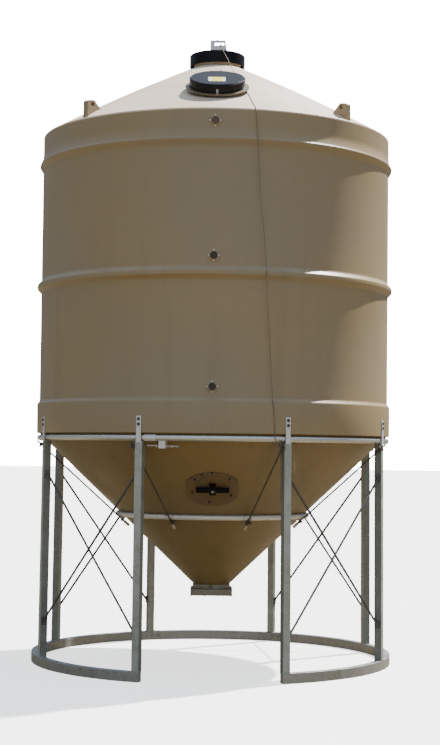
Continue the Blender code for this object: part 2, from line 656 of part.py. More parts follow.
def legMesh():
    half = 0.5 * LEG_SIZE
    low = BASE_HEIGHT + GAP
    high = ringUnderside() - GAP
    outline = [(-legRadius(low) - half, low), (-legRadius(low) + half, low),
               (-legRadius(high) + half, high), (-legRadius(high) - half, high)]
    post = prism(outline, "X", -half, half)
    skirt = [(SKIRT_RADIUS_BOTTOM, SKIRT_BOTTOM_Z), (SKIRT_RADIUS_TOP, SKIRT_TOP_Z)]
    inner = between(skirt, STRAP_TOP_Z) * FLAT + GAP
    strap = box((-0.5 * STRAP_WIDTH, -inner - STRAP_THICKNESS, STRAP_BOTTOM_Z),
                (0.5 * STRAP_WIDTH, -inner, STRAP_TOP_Z))
    return combine([post, strap])


def tiePoint(radius):
    slope = (TIE_TOP[1] - TIE_LOW[1]) / (TIE_TOP[0] - TIE_LOW[0])
    height = TIE_TOP[1] + slope * (radius - TIE_TOP[0])
    return Vector((-radius * math.tan(math.radians(TIE_AZIMUTH_STEP)), -radius, height))


def tieMesh():
    """One hopper tie rod with its end plates and nuts, for the leg at azimuth 0."""
    tilt = math.atan2(TIE_TOP[1] - TIE_LOW[1], TIE_TOP[0] - TIE_LOW[0])
    outer, inner = (tiePoint(radius) for radius in TIE_ENDS)
    pieces = [rod(outer, inner, TIE_RADIUS, 8)]
    thick = TIE_PLATE_THICKNESS
    frame = Matrix.Rotation(-tilt, 4, "X")
    # in each plate's frame -Y runs up along the rod and +Z stands square to it, on the hopper's side
    middle = tiePoint(TIE_PLATE_RADIUS)
    side = -0.5 * LEG_SIZE - GAP
    topPlate = box((side - TIE_PLATE_REACH - middle.x, -thick, -TIE_PLATE_HALF),
                   (side - middle.x, 0.0, TIE_PLATE_HALF), Matrix.Translation(middle) @ frame)
    pieces.append(topPlate)
    foot = tiePoint(TIE_LOW[0])
    ringCentre = Vector((0.0, -hopperRingRadius() * FLAT, HOPPER_RING_Z))
    along = Vector((0.0, -math.cos(tilt), math.sin(tilt)))
    distance = (Vector((0.0, foot.y, foot.z)) - ringCentre).dot(along)
    seat = Matrix.Translation(foot) @ frame
    face = distance + HOPPER_RING_TUBE + GAP
    lowPlate = box((-0.012, face, -0.016), (0.030, face + thick, 0.040), seat)
    pieces.append(lowPlate)
    topSeat = Matrix.Translation(middle) @ frame
    for centre, start in ((topSeat, -thick - NUT_HEIGHT + 0.001), (seat, face + thick - 0.001)):
        nut = smallTurned(discProfile(NUT_RADIUS, 0.0, NUT_HEIGHT), 6)
        lift = Matrix.Translation((0.0, start + NUT_HEIGHT, 0.0))
        nut.transform(centre @ lift @ Matrix.Rotation(math.pi / 2, 4, "X"))
        pieces.append(nut)
    return combine(pieces)


def hopperRingRadius():
    """The ring's tube just touches the cone."""
    slope = math.atan(1.0 / HOPPER_SPREAD)
    return hopperRadius(HOPPER_RING_Z) + (HOPPER_RING_TUBE + 0.0005) / math.sin(slope)


def tubeRing(radius, centreZ, tube, sides, phase):
    points = []
    for index in range(sides):
        angle = math.radians(phase) + 2 * math.pi * index / sides
        points.append((radius + tube * math.cos(angle), centreZ + tube * math.sin(angle)))
    return turned(points)


def sideFace(azimuth, towards, height, stand):
    """A point beside the leg at this azimuth, on the side that faces the bay, and that side's direction."""
    around = 1.0 if towards > azimuth else -1.0
    angle = math.radians(azimuth)
    centre = Vector((math.sin(angle), -math.cos(angle), 0.0)) * legRadius(height) + Vector((0.0, 0.0, height))
    tangent = Vector((math.cos(angle), math.sin(angle), 0.0)) * around
    return centre + tangent * (0.5 * LEG_SIZE + stand), tangent


def braceMesh(bay, rising):
    """One rod of a cross in the bay, with a plate on each leg's side. Rising goes up with the azimuth."""
    low, high = bay - FIRST_LEG_AZIMUTH, bay + FIRST_LEG_AZIMUTH
    heights = (BRACE_LOW_Z, BRACE_TOP_Z) if rising else (BRACE_TOP_Z, BRACE_LOW_Z)
    ends = tuple(zip((low, high), heights))
    angle = math.radians(bay)
    outward = Vector((math.sin(angle), -math.cos(angle), 0.0)) * (BRACE_OFFSET if rising else -BRACE_OFFSET)
    depth, thick, tall = BRACE_TAB
    points = []
    tangents = []
    pieces = []
    for azimuth, height in ends:
        middle, tangent = sideFace(azimuth, bay, height, GAP + 0.5 * thick)
        lean = math.atan2(legRadius(height - 0.1) - legRadius(height + 0.1), 0.2)
        matrix = Matrix.Translation(middle) @ turnedBy(azimuth) @ Matrix.Rotation(lean, 4, "X")
        corner = Vector((0.5 * thick, 0.5 * depth, 0.5 * tall))
        pieces.append(box(-corner, corner, matrix))
        points.append(middle + outward)
        tangents.append(tangent)
    along = (points[1] - points[0]).normalized()
    ends = []
    for point, tangent, inwards in zip(points, tangents, (along, -along)):
        cosine = inwards.dot(tangent)
        sine = math.sqrt(1.0 - cosine * cosine)
        start = (BRACE_RADIUS * sine - 0.5 * thick + 0.001 - outward.dot(tangent)) / cosine
        ends.append(point + inwards * start)
    pieces.insert(0, rod(ends[0], ends[1], BRACE_RADIUS, 8))
    return combine(pieces)


def makeStand(steel, bright):
    place("top_ring", tubeRing(RING_RADIUS, RING_Z, RING_TUBE, RING_SIDES, RING_PHASE), bright)
    lower = tubeRing(hopperRingRadius(), HOPPER_RING_Z, HOPPER_RING_TUBE, HOPPER_RING_SIDES,
                     HOPPER_RING_PHASE)
    place("hopper_ring", lower, bright)
    inner = BASE_OUTER_RADIUS - BASE_WIDTH
    corners = [azimuth for azimuth in fullCircle() if BASE_OPENING < azimuth < 360.0 - BASE_OPENING]
    azimuths = [BASE_OPENING] + corners + [360.0 - BASE_OPENING]
    section = [(inner, 0.0), (BASE_OUTER_RADIUS, 0.0), (BASE_OUTER_RADIUS, BASE_HEIGHT), (inner, BASE_HEIGHT)]
    place("base_ring", turned(section, azimuths), steel)
    leg = legMesh()
    tie = tieMesh()
    for index in range(LEG_COUNT):
        azimuth = FIRST_LEG_AZIMUTH + index * 360.0 / LEG_COUNT
        place(f"leg_{index + 1}", leg, steel, turnedBy(azimuth))
        place(f"hopper_tie_rod_{index + 1}", tie, steel, turnedBy(azimuth))
    for index, bay in enumerate(BRACED_BAYS):
        place(f"brace_rod_{2 * index + 1}", braceMesh(bay, True), steel)
        place(f"brace_rod_{2 * index + 2}", braceMesh(bay, False), steel)


def makeRingJoint(steel):
    """A threaded rod that runs along under the top ring, through a lug that hangs from the ring."""
    half = 0.5 * RING_LUG_WIDTH
    lug = box((-half, -RING_LUG_FRONT, RING_LUG_LOW_Z), (half, -RING_LUG_BACK, ringUnderside() - GAP),
              turnedBy(RING_LUG_AZIMUTH))
    place("ring_joint_rod", combine([lug, rod(*RING_ROD_ENDS, RING_ROD_RADIUS, 8)]), steel)


def makeLugs(poly):
    """Lifting lugs, moulded fins that stand on the roof at the eave, each with an eye."""
    outline = [(-radius, roofFlat(radius) + SEAT) for radius in (LUG_OUTER, LUG_INNER)]
    outline.append((-LUG_SHOULDER, LUG_SHOULDER_Z))
    outline.extend([(-LUG_OUTER + 0.010, LUG_EDGE_Z + 0.012), (-LUG_OUTER, LUG_EDGE_Z)])
    fin = prism(outline, "X", -0.5 * LUG_THICKNESS, 0.5 * LUG_THICKNESS)
    radius, height = LUG_EYE
    eye = rod((-0.1, -radius, height), (0.1, -radius, height), LUG_EYE_RADIUS, 12)
    mesh = combine([fin, eye], "DIFFERENCE")
    for index, azimuth in enumerate(LUG_AZIMUTHS):
        shift = Matrix.Translation((math.copysign(LUG_SHIFT, azimuth), 0.0, 0.0))
        place(f"lifting_lug_{index + 1}", mesh, poly, turnedBy(azimuth) @ shift)


def makePorts(poly):
    flange, plug = PORT_FLANGE_THICKNESS, PORT_PLUG_THICKNESS
    profile = [(0.0, 0.0), (PORT_FLANGE_RADIUS, 0.0), (PORT_FLANGE_RADIUS, flange - 0.002),
               (PORT_FLANGE_RADIUS - 0.002, flange), (PORT_PLUG_RADIUS, flange), (PORT_PLUG_RADIUS, plug),
               (0.0, plug)]
    mesh = smallTurned(profile, 24)
    for index, height in enumerate(PORT_HEIGHTS):
        onSkirt = height < SKIRT_TOP_Z
        radius = (SKIRT_RADIUS_TOP if onSkirt else WALL_RADIUS) * FLAT
        matrix = Matrix.Translation((PORT_X, -radius - 0.0005, height)) @ Matrix.Rotation(math.pi / 2, 4, "X")
        place(f"sight_port_{index + 1}", mesh, poly, matrix)


def smoothRoute(points, count):
    """Evenly spaced points on a smooth curve through the given ones."""
    points = [Vector(point) for point in points]
    ghost = [points[0] * 2 - points[1]] + points + [points[-1] * 2 - points[-2]]
    dense = []
    steps = 24
    for index in range(len(points) - 1):
        a, b, c, d = ghost[index:index + 4]
        for step in range(steps):
            t = step / steps
            dense.append(0.5 * ((2 * b) + (c - a) * t + (2 * a - 5 * b + 4 * c - d) * t * t
                                + (3 * b - a - 3 * c + d) * t * t * t))
    dense.append(points[-1])
    lengths = [0.0]
    for first, second in zip(dense, dense[1:]):
        lengths.append(lengths[-1] + (second - first).length)
    result = []
    cursor = 0
    for index in range(count):
        target = lengths[-1] * index / (count - 1)
        while cursor < len(dense) - 2 and lengths[cursor + 1] < target:
            cursor += 1
        span = max(lengths[cursor + 1] - lengths[cursor], 1e-9)
        result.append(dense[cursor].lerp(dense[cursor + 1], (target - lengths[cursor]) / span))
    return result


def ropeCurve(name, points, material):
    curve = bpy.data.curves.new(name, "CURVE")
    curve.dimensions = "3D"
    curve.bevel_depth = ROPE_RADIUS
    curve.bevel_resolution = 2
    curve.use_fill_caps = True
    spline = curve.splines.new("POLY")
    spline.points.add(len(points) - 1)
    for target, point in zip(spline.points, points):
        target.co = (*point, 1.0)
    curve.materials.append(material)
    thing = bpy.data.objects.new(name, curve)
    bpy.context.scene.collection.objects.link(thing)


def facetCosine(x, y):
    """Cosine of the angle between a point's azimuth and the middle of the flat it lies on."""
    step = 2 * math.pi / SEGMENTS
    azimuth = math.atan2(x, -y)
    return math.cos(azimuth - round(azimuth / step) * step)


def between(points, value, key=1, result=0):
    """Straight-line reading of a table of points, in either order."""
    points = sorted(points, key=lambda point: point[key])
    if value <= points[0][key]:
        return points[0][result]
    for low, high in zip(points, points[1:]):
        if value <= high[key]:
            share = (value - low[key]) / (high[key] - low[key])
            return low[result] + (high[result] - low[result]) * share
    return points[-1][result]


def ropeRadius(height):
    """The rope hangs straight from rib to rib, and lies on whatever stands proud of that line."""
    supports = [(RING_RADIUS + RING_TUBE, 1.70), (RING_RADIUS + RING_TUBE, RING_Z),
                (SKIRT_RADIUS_BOTTOM, SKIRT_BOTTOM_Z), (SKIRT_RADIUS_TOP, SKIRT_TOP_Z),
                (RIB_RADII[0], RIB_CENTRES[0]), (RIB_RADII[1], RIB_CENTRES[1]), (WALL_RADIUS, EAVE_Z + 0.006)]
    surface = [point for centre, radius, tall in zip(RIB_CENTRES, RIB_RADII, RIB_HEIGHTS)
               for point in ribPoints(centre, radius, tall)]
    surface.extend([(SKIRT_RADIUS_BOTTOM, SKIRT_BOTTOM_Z), (SKIRT_RADIUS_TOP, SKIRT_TOP_Z)])
    surface.append((WALL_RADIUS, SKIRT_TOP_Z + SKIRT_CHAMFER))
    return max(between(supports, height), between(surface, height))


def ropePoint(x, radius, height):
    """A point of the rope at this x, where the radius is measured to the corners of the flats."""
    y = -math.sqrt(radius * radius - x * x)
    reach = radius * FLAT / facetCosine(x, y)
    return Vector((x, -math.sqrt(reach * reach - x * x), height))


def makeRope(material):
    ropeCurve("rope_lead", smoothRoute(LEAD_ROUTE, 40), material)
    start = Vector(LEAD_ROUTE[-1])
    route = []
    (x, nearest), (_, farthest) = ROPE_ON_ROOF[0], ROPE_ON_ROOF[-1]
    steps = math.ceil((farthest - nearest) / ROPE_WIDE)
    for index in range(steps + 1):
        ahead = nearest + (farthest - nearest) * index / steps
        x = between(ROPE_ON_ROOF, ahead)
        corner = math.hypot(x, ahead) * facetCosine(x, -ahead) / FLAT
        route.append(Vector((x, -ahead, roofHeight(corner) + ROPE_LIFT / math.cos(roofAngle(corner)))))
    route[0] = start + (route[1] - start).normalized() * 0.0006
    for out, up in ROPE_OVER_EAVE:
        route.append(ropePoint(ROPE_ON_ROOF[-1][0], WALL_RADIUS + out, EAVE_Z + up))
    height = EAVE_Z - 0.008
    lowest = ROPE_ON_WALL[-1][1]
    while height > lowest:
        route.append(ropePoint(between(ROPE_ON_WALL, height), ropeRadius(height) + ROPE_LIFT, height))
        onRib = any(abs(height - centre) < 0.090 for centre in RIB_CENTRES)
        height -= ROPE_CLOSE if onRib else ROPE_WIDE
    ropeCurve("pull_rope", route, material)


def main():
    clearScene()
    poly = makeMaterial("tan poly", (0.32, 0.25, 0.17), 0.55)
    black = makeMaterial("black plastic", (0.015, 0.015, 0.018), 0.45)
    steel = makeMaterial("galvanised steel", (0.36, 0.38, 0.37), 0.45, 0.8)
    bright = makeMaterial("bright galvanised tube", (0.52, 0.53, 0.55), 0.35, 0.9)
    plate = makeMaterial("gate frame", (0.20, 0.18, 0.13), 0.5)
    cord = makeMaterial("rope", (0.20, 0.16, 0.10), 0.9)
    makeWall(poly)
    makeRoof(poly)
    makeHopper(poly)
    makeCleanout(poly, black)
    makeFillLid(black, steel)
    makeBracket(steel)
    makeRoofHatch(poly, black, steel)
    makeOutlet(poly, plate, steel)
    makeStand(steel, bright)
    makeRingJoint(steel)
    makeLugs(poly)
    makePorts(poly)
    makeRope(cord)


main()
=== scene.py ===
import json
import math

import bmesh
import bpy
from mathutils import Matrix, Vector

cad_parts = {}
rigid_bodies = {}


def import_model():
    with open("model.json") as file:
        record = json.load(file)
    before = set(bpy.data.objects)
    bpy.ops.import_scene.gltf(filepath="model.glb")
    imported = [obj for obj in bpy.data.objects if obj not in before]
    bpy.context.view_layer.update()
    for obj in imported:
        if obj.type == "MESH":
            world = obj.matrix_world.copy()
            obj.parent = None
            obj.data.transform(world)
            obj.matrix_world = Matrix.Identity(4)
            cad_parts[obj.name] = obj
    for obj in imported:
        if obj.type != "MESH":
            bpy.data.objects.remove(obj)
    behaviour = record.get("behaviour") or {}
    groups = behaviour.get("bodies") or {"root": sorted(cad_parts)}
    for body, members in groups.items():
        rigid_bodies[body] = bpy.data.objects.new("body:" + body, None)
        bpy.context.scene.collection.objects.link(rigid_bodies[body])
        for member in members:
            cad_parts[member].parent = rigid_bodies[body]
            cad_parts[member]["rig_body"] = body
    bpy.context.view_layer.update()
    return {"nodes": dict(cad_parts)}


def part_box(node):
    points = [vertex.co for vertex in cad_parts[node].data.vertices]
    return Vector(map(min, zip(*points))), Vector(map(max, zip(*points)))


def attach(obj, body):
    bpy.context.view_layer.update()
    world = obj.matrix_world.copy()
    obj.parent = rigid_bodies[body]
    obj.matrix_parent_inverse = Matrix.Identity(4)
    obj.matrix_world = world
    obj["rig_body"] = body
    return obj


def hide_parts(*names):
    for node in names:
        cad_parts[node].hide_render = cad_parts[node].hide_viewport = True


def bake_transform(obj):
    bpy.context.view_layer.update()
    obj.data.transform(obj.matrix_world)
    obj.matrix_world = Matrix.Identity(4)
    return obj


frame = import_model()
nodes = frame["nodes"]
print("frame: " + str(len(nodes)) + " solids")


def linkObject(name, data):
    made = bpy.data.objects.new(name, data)
    bpy.context.scene.collection.objects.link(made)
    return made


# Camera at the place and angle of the photograph
photoCamera = {
    "place": (-0.0236, -13.531, 1.761),
    "yaw": 0.327,
    "pitch": 2.892,
    "roll": 0.659,
    "lens": 50.81,
    "sensor": 24.0,
}


def makeCamera(values):
    yaw, pitch, roll = (math.radians(values[key]) for key in ("yaw", "pitch", "roll"))
    ahead = Vector((math.sin(yaw), math.cos(yaw), 0.0))
    across = Vector((math.cos(yaw), -math.sin(yaw), 0.0))
    upward = Vector((0.0, 0.0, 1.0))
    aim = math.cos(pitch) * ahead + math.sin(pitch) * upward
    lift = math.cos(pitch) * upward - math.sin(pitch) * ahead
    right = math.cos(roll) * across + math.sin(roll) * lift
    top = math.cos(roll) * lift - math.sin(roll) * across
    lens = bpy.data.cameras.new("photo camera")
    lens.lens = values["lens"]
    lens.sensor_width = values["sensor"]
    lens.clip_start = 0.1
    lens.clip_end = 500.0
    camera = linkObject("photo camera", lens)
    turn = Matrix((right, top, -aim)).transposed().to_4x4()
    camera.matrix_world = Matrix.Translation(values["place"]) @ turn
    bpy.context.scene.camera = camera


makeCamera(photoCamera)
print("camera set")


# Shader helpers
def addNode(tree, kind, values=None, **settings):
    node = tree.nodes.new(kind)
    for key, value in settings.items():
        setattr(node, key, value)
    for key, value in (values or {}).items():
        if isinstance(value, bpy.types.NodeSocket):
            tree.links.new(value, node.inputs[key])
        else:
            node.inputs[key].default_value = value
    return node


def mixColour(tree, factor, *colours):
    socket = bpy.types.NodeSocket
    first, second = [colour if isinstance(colour, socket) else (*colour, 1.0) for colour in colours]
    return addNode(tree, "ShaderNodeMix", {0: factor, 6: first, 7: second}, data_type="RGBA").outputs[2]


def maths(tree, operation, *values):
    return addNode(tree, "ShaderNodeMath", dict(enumerate(values)), operation=operation).outputs[0]


def layOver(tree, mask, share, under, over):
    return mixColour(tree, maths(tree, "MULTIPLY", mask, share), under, over)


def noiseAt(tree, where, scale, detail):
    values = {"Vector": where, "Scale": scale, "Detail": detail}
    return addNode(tree, "ShaderNodeTexNoise", values).outputs["Fac"]


def rampOf(tree, value, low, high, **settings):
    values = {"Value": value, "From Min": low, "From Max": high}
    return addNode(tree, "ShaderNodeMapRange", values, **settings).outputs["Result"]


def newGroup(name, numbers, result):
    # a group that reads a place and these numbers, and puts out one number
    tree = bpy.data.node_groups.new(name, "ShaderNodeTree")
    tree.interface.new_socket("Vector", in_out="INPUT", socket_type="NodeSocketVector")
    for number in numbers:
        tree.interface.new_socket(number, in_out="INPUT", socket_type="NodeSocketFloat")
    tree.interface.new_socket(result, in_out="OUTPUT", socket_type="NodeSocketFloat")
    return tree, tree.nodes.new("NodeGroupInput").outputs, tree.nodes.new("NodeGroupOutput").inputs[result]


def useGroup(tree, group, **values):
    return addNode(tree, "ShaderNodeGroup", values, node_tree=group).outputs[0]


def makeCloud():
    # soft patches, from 0 below Low to 1 above High
    tree, given, out = newGroup("cloud", ("Scale", "Low", "High"), "Mask")
    noise = noiseAt(tree, given["Vector"], given["Scale"], 4.0)
    tree.links.new(rampOf(tree, noise, given["Low"], given["High"], interpolation_type="SMOOTHSTEP"), out)
    return tree


def makeStreaks():
    # patches drawn out down the object, as rain leaves them
    tree, given, out = newGroup("streaks", ("Across", "Down", "Low", "High"), "Mask")
    across = given["Across"]
    sizes = addNode(tree, "ShaderNodeCombineXYZ", {"X": across, "Y": across, "Z": given["Down"]})
    places = {0: given["Vector"], 1: sizes.outputs[0]}
    stretched = addNode(tree, "ShaderNodeVectorMath", places, operation="MULTIPLY").outputs[0]
    noise = noiseAt(tree, stretched, 1.0, 3.0)
    tree.links.new(rampOf(tree, noise, given["Low"], given["High"], interpolation_type="SMOOTHSTEP"), out)
    return tree


def makeDust():
    # dust lies where a surface faces up, in patches
    tree, given, out = newGroup("dust", ("Scale", "Low", "High"), "Mask")
    normal = addNode(tree, "ShaderNodeNewGeometry").outputs["Normal"]
    height = addNode(tree, "ShaderNodeSeparateXYZ", {0: normal}).outputs["Z"]
    facing = rampOf(tree, height, given["Low"], given["High"])
    patch = rampOf(tree, noiseAt(tree, given["Vector"], given["Scale"], 5.0), 0.3, 0.7)
    tree.links.new(maths(tree, "MULTIPLY", facing, patch), out)
    return tree


def makeSpangle():
    # zinc crystals: each cell has its own tone
    tree, given, out = newGroup("spangle", ("Scale",), "Tone")
    cells = addNode(tree, "ShaderNodeTexVoronoi", {"Vector": given["Vector"], "Scale": given["Scale"]})
    tree.links.new(addNode(tree, "ShaderNodeSeparateColor", {0: cells.outputs["Color"]}).outputs["Red"], out)
    return tree


def makeGrain():
    # height of the surface: fine moulding grain over slow waves
    tree, given, out = newGroup("grain", ("Fine", "Wide", "Share"), "Height")
    fine = noiseAt(tree, given["Vector"], given["Fine"], 2.0)
    wide = noiseAt(tree, given["Vector"], given["Wide"], 1.0)
    tree.links.new(addNode(tree, "ShaderNodeMix", {0: given["Share"], 2: fine, 3: wide}).outputs[0], out)
    return tree


cloud, streaks, dust, spangle, grain = makeCloud(), makeStreaks(), makeDust(), makeSpangle(), makeGrain()


def newMaterial(name, metallic=0.0):
    material = bpy.data.materials.new(name)
    material.use_nodes = True
    tree = material.node_tree
    shader = tree.nodes["Principled BSDF"]
    shader.inputs["Metallic"].default_value = metallic
    where = addNode(tree, "ShaderNodeTexCoord").outputs["Object"]
    return material, tree, shader, where


def endShader(tree, shader, where, colour, tone, gloss, grains, bump):
    # gloss is the roughness at both ends of the tone, grains are two scales and their share,
    # and bump is a strength and a depth
    tree.links.new(colour, shader.inputs["Base Color"])
    rough = addNode(tree, "ShaderNodeMapRange", {"Value": tone, "To Min": gloss[0], "To Max": gloss[1]})
    tree.links.new(rough.outputs["Result"], shader.inputs["Roughness"])
    height = useGroup(tree, grain, Vector=where, Fine=grains[0], Wide=grains[1], Share=grains[2])
    raised = addNode(tree, "ShaderNodeBump", {"Height": height, "Strength": bump[0], "Distance": bump[1]})
    tree.links.new(raised.outputs["Normal"], shader.inputs["Normal"])


scuffShare = 0.16
rustStain = (0.15, 0.115, 0.075)


def makePoly(name, values):
    material, tree, shader, where = newMaterial(name)
    tone = useGroup(tree, cloud, Vector=where, Scale=values["patchScale"], Low=0.36, High=0.64)
    colour = mixColour(tree, tone, values["warm"], values["grey"])
    run = useGroup(tree, streaks, Vector=where, Across=7.0, Down=0.5, Low=0.52, High=0.78)
    colour = layOver(tree, run, values["streak"], colour, values["dirt"])
    scuff = useGroup(tree, cloud, Vector=where, Scale=23.0, Low=0.62, High=0.80)
    colour = layOver(tree, scuff, scuffShare, colour, values["scuffed"])
    lying = useGroup(tree, dust, Vector=where, Scale=5.0, Low=0.35, High=0.95)
    colour = layOver(tree, lying, values["dust"], colour, values["dusty"])
    grains, bump = (260.0, 1.7, 0.93), (0.35, values["wave"])
    endShader(tree, shader, where, colour, tone, values["gloss"], grains, bump)
    return material


def makeZinc(name, values):
    material, tree, shader, where = newMaterial(name, values["metallic"])
    crystal = useGroup(tree, spangle, Vector=where, Scale=values["spangle"])
    colour = mixColour(tree, crystal, values["dark"], values["light"])
    dull = useGroup(tree, cloud, Vector=where, Scale=9.0, Low=0.44, High=0.68)
    colour = mixColour(tree, dull, colour, values["dull"])
    run = useGroup(tree, streaks, Vector=where, Across=38.0, Down=4.0, Low=0.62, High=0.80)
    colour = layOver(tree, run, values["stain"], colour, rustStain)
    grains, bump = (140.0, 16.0, 0.6), (0.3, values.get("bump", 0.0012))
    endShader(tree, shader, where, colour, dull, values["gloss"], grains, bump)
    return material


def makePlastic(name, values):
    material, tree, shader, where = newMaterial(name)
    tone = useGroup(tree, cloud, Vector=where, Scale=11.0, Low=0.35, High=0.70)
    colour = mixColour(tree, tone, values["dark"], values["faded"])
    lying = useGroup(tree, dust, Vector=where, Scale=14.0, Low=0.5, High=1.0)
    colour = layOver(tree, lying, values["dust"], colour, values["dusty"])
    endShader(tree, shader, where, colour, tone, values["gloss"], (420.0, 30.0, 0.3), (0.25, 0.0006))
    shader.inputs["Specular IOR Level"].default_value = values.get("shine", 0.5)
    return material


def makeFibre(name, values):
    material, tree, shader, where = newMaterial(name)
    tone = useGroup(tree, cloud, Vector=where, Scale=160.0, Low=0.35, High=0.65)
    colour = mixColour(tree, tone, values["dark"], values["light"])
    endShader(tree, shader, where, colour, tone, values["gloss"], (2600.0, 700.0, 0.4), (0.5, 0.0006))
    return material


# Finishes
tankPoly = makePoly("tank poly", {
    "warm": (0.300, 0.220, 0.112), "grey": (0.275, 0.213, 0.128), "dirt": (0.185, 0.135, 0.070),
    "scuffed": (0.40, 0.33, 0.23), "dusty": (0.44, 0.38, 0.29), "patchScale": 0.9, "streak": 0.22,
    "dust": 0.5, "gloss": (0.34, 0.46), "wave": 0.012,
})
# lighter copy of the tank poly for the roof, neck and lug fillets: partly sun-bleached and dusty, partly
# painted light of the high sun
roofPolyPaintedLight = makePoly("roof poly painted light", {
    "warm": (0.64, 0.480, 0.335), "grey": (0.68, 0.540, 0.410), "dirt": (0.48, 0.350, 0.235),
    "scuffed": (0.66, 0.60, 0.52), "dusty": (0.62, 0.56, 0.48), "patchScale": 1.6, "streak": 0.18,
    "dust": 0.5, "gloss": (0.42, 0.56), "wave": 0.006,
})
# darker copy of the tank poly for the hopper and outlet collar: painted shade under the tank
hopperPolyPaintedShade = makePoly("hopper poly painted shade", {
    "warm": (0.235, 0.160, 0.062), "grey": (0.215, 0.152, 0.072), "dirt": (0.150, 0.102, 0.044),
    "scuffed": (0.27, 0.21, 0.12), "dusty": (0.24, 0.19, 0.11), "patchScale": 1.5, "streak": 0.30,
    "dust": 0.2, "gloss": (0.38, 0.52), "wave": 0.008,
})
# dark copy of the poly for the roof hatch ring: painted shade of the lid above it
hatchRingPaintedShade = makePoly("hatch ring poly painted shade", {
    "warm": (0.150, 0.108, 0.062), "grey": (0.135, 0.100, 0.064), "dirt": (0.090, 0.065, 0.038),
    "scuffed": (0.24, 0.19, 0.13), "dusty": (0.22, 0.18, 0.13), "patchScale": 5.0, "streak": 0.25,
    "dust": 0.3, "gloss": (0.36, 0.50), "wave": 0.004,
})
doorPoly = makePoly("door poly", {
    "warm": (0.172, 0.107, 0.047), "grey": (0.154, 0.101, 0.056), "dirt": (0.095, 0.062, 0.033),
    "scuffed": (0.27, 0.20, 0.12), "dusty": (0.24, 0.18, 0.11), "patchScale": 6.0, "streak": 0.40,
    "dust": 0.2, "gloss": (0.38, 0.52), "wave": 0.004,
})
legZinc = makeZinc("dull zinc", {
    "dark": (0.300, 0.312, 0.275), "light": (0.385, 0.400, 0.355), "dull": (0.420, 0.435, 0.390),
    "spangle": 70.0, "stain": 0.45, "gloss": (0.40, 0.62), "metallic": 0.35,
})
# darker copy of the leg zinc for the leg faces towards the bays: painted shade
paintedShadeZinc = makeZinc("painted shade zinc", {
    "dark": (0.150, 0.156, 0.135), "light": (0.200, 0.206, 0.180), "dull": (0.215, 0.222, 0.195),
    "spangle": 70.0, "stain": 0.45, "gloss": (0.48, 0.66), "metallic": 0.20,
})
baseZinc = makeZinc("base zinc", {
    "dark": (0.290, 0.293, 0.280), "light": (0.390, 0.390, 0.372), "dull": (0.350, 0.350, 0.330),
    "spangle": 60.0, "stain": 0.50, "gloss": (0.32, 0.48), "metallic": 0.55,
})
strapZinc = makeZinc("strap zinc", {
    "dark": (0.62, 0.63, 0.62), "light": (0.74, 0.75, 0.74), "dull": (0.66, 0.66, 0.64),
    "spangle": 90.0, "stain": 0.25, "gloss": (0.35, 0.50), "metallic": 0.25,
})
brightZinc = makeZinc("bright zinc tube", {
    "dark": (0.58, 0.57, 0.55), "light": (0.64, 0.63, 0.61), "dull": (0.60, 0.59, 0.56),
    "spangle": 110.0, "stain": 0.06, "gloss": (0.26, 0.34), "metallic": 0.75, "bump": 0.0001,
})
# brighter copy of the tube zinc for the lower ring: painted light
paintedLightZinc = makeZinc("lower ring zinc painted light", {
    "dark": (0.70, 0.67, 0.62), "light": (0.78, 0.75, 0.70), "dull": (0.72, 0.69, 0.64),
    "spangle": 110.0, "stain": 0.06, "gloss": (0.26, 0.36), "metallic": 0.40, "bump": 0.0001,
})
boltZinc = makeZinc("bolt zinc", {
    "dark": (0.20, 0.20, 0.19), "light": (0.33, 0.33, 0.32), "dull": (0.24, 0.235, 0.22),
    "spangle": 160.0, "stain": 0.55, "gloss": (0.38, 0.58), "metallic": 0.7,
})
# rusty steel for the tie rods and their threads, made darker still as painted shade
rodSteelRustAndShade = makeZinc("rod steel rust and painted shade", {
    "dark": (0.070, 0.048, 0.030), "light": (0.130, 0.095, 0.065), "dull": (0.090, 0.064, 0.040),
    "spangle": 130.0, "stain": 0.60, "gloss": (0.42, 0.60), "metallic": 0.25,
})
braceSteel = makeZinc("brace steel", {
    "dark": (0.075, 0.071, 0.065), "light": (0.120, 0.113, 0.103), "dull": (0.092, 0.085, 0.077),
    "spangle": 130.0, "stain": 0.60, "gloss": (0.48, 0.66), "metallic": 0.25,
})
# darker copy of the bolt zinc for the strap and clean-out bolts: painted shade
boltPaintedShade = makeZinc("dark bolt painted shade", {
    "dark": (0.045, 0.040, 0.034), "light": (0.085, 0.078, 0.068), "dull": (0.060, 0.052, 0.043),
    "spangle": 200.0, "stain": 0.40, "gloss": (0.38, 0.55), "metallic": 0.3,
})
sleeveTan = makeZinc("tan sleeve", {
    "dark": (0.42, 0.37, 0.28), "light": (0.56, 0.50, 0.40), "dull": (0.48, 0.42, 0.33),
    "spangle": 160.0, "stain": 0.30, "gloss": (0.35, 0.50), "metallic": 0.25,
})
gatePlate = makeZinc("gate plate", {
    "dark": (0.225, 0.195, 0.135), "light": (0.27, 0.24, 0.175), "dull": (0.25, 0.215, 0.15),
    "spangle": 40.0, "stain": 0.35, "gloss": (0.50, 0.66), "metallic": 0.0,
})
blackPlastic = makePlastic("black plastic", {
    "dark": (0.0042, 0.0038, 0.0052), "faded": (0.0070, 0.0066, 0.0092), "dusty": (0.06, 0.06, 0.066),
    "dust": 0.06, "gloss": (0.26, 0.40), "shine": 0.16,
})
plugBrown = makePlastic("plug brown", {
    "dark": (0.028, 0.016, 0.008), "faded": (0.050, 0.030, 0.016), "dusty": (0.10, 0.08, 0.05),
    "dust": 0.2, "gloss": (0.40, 0.55),
})
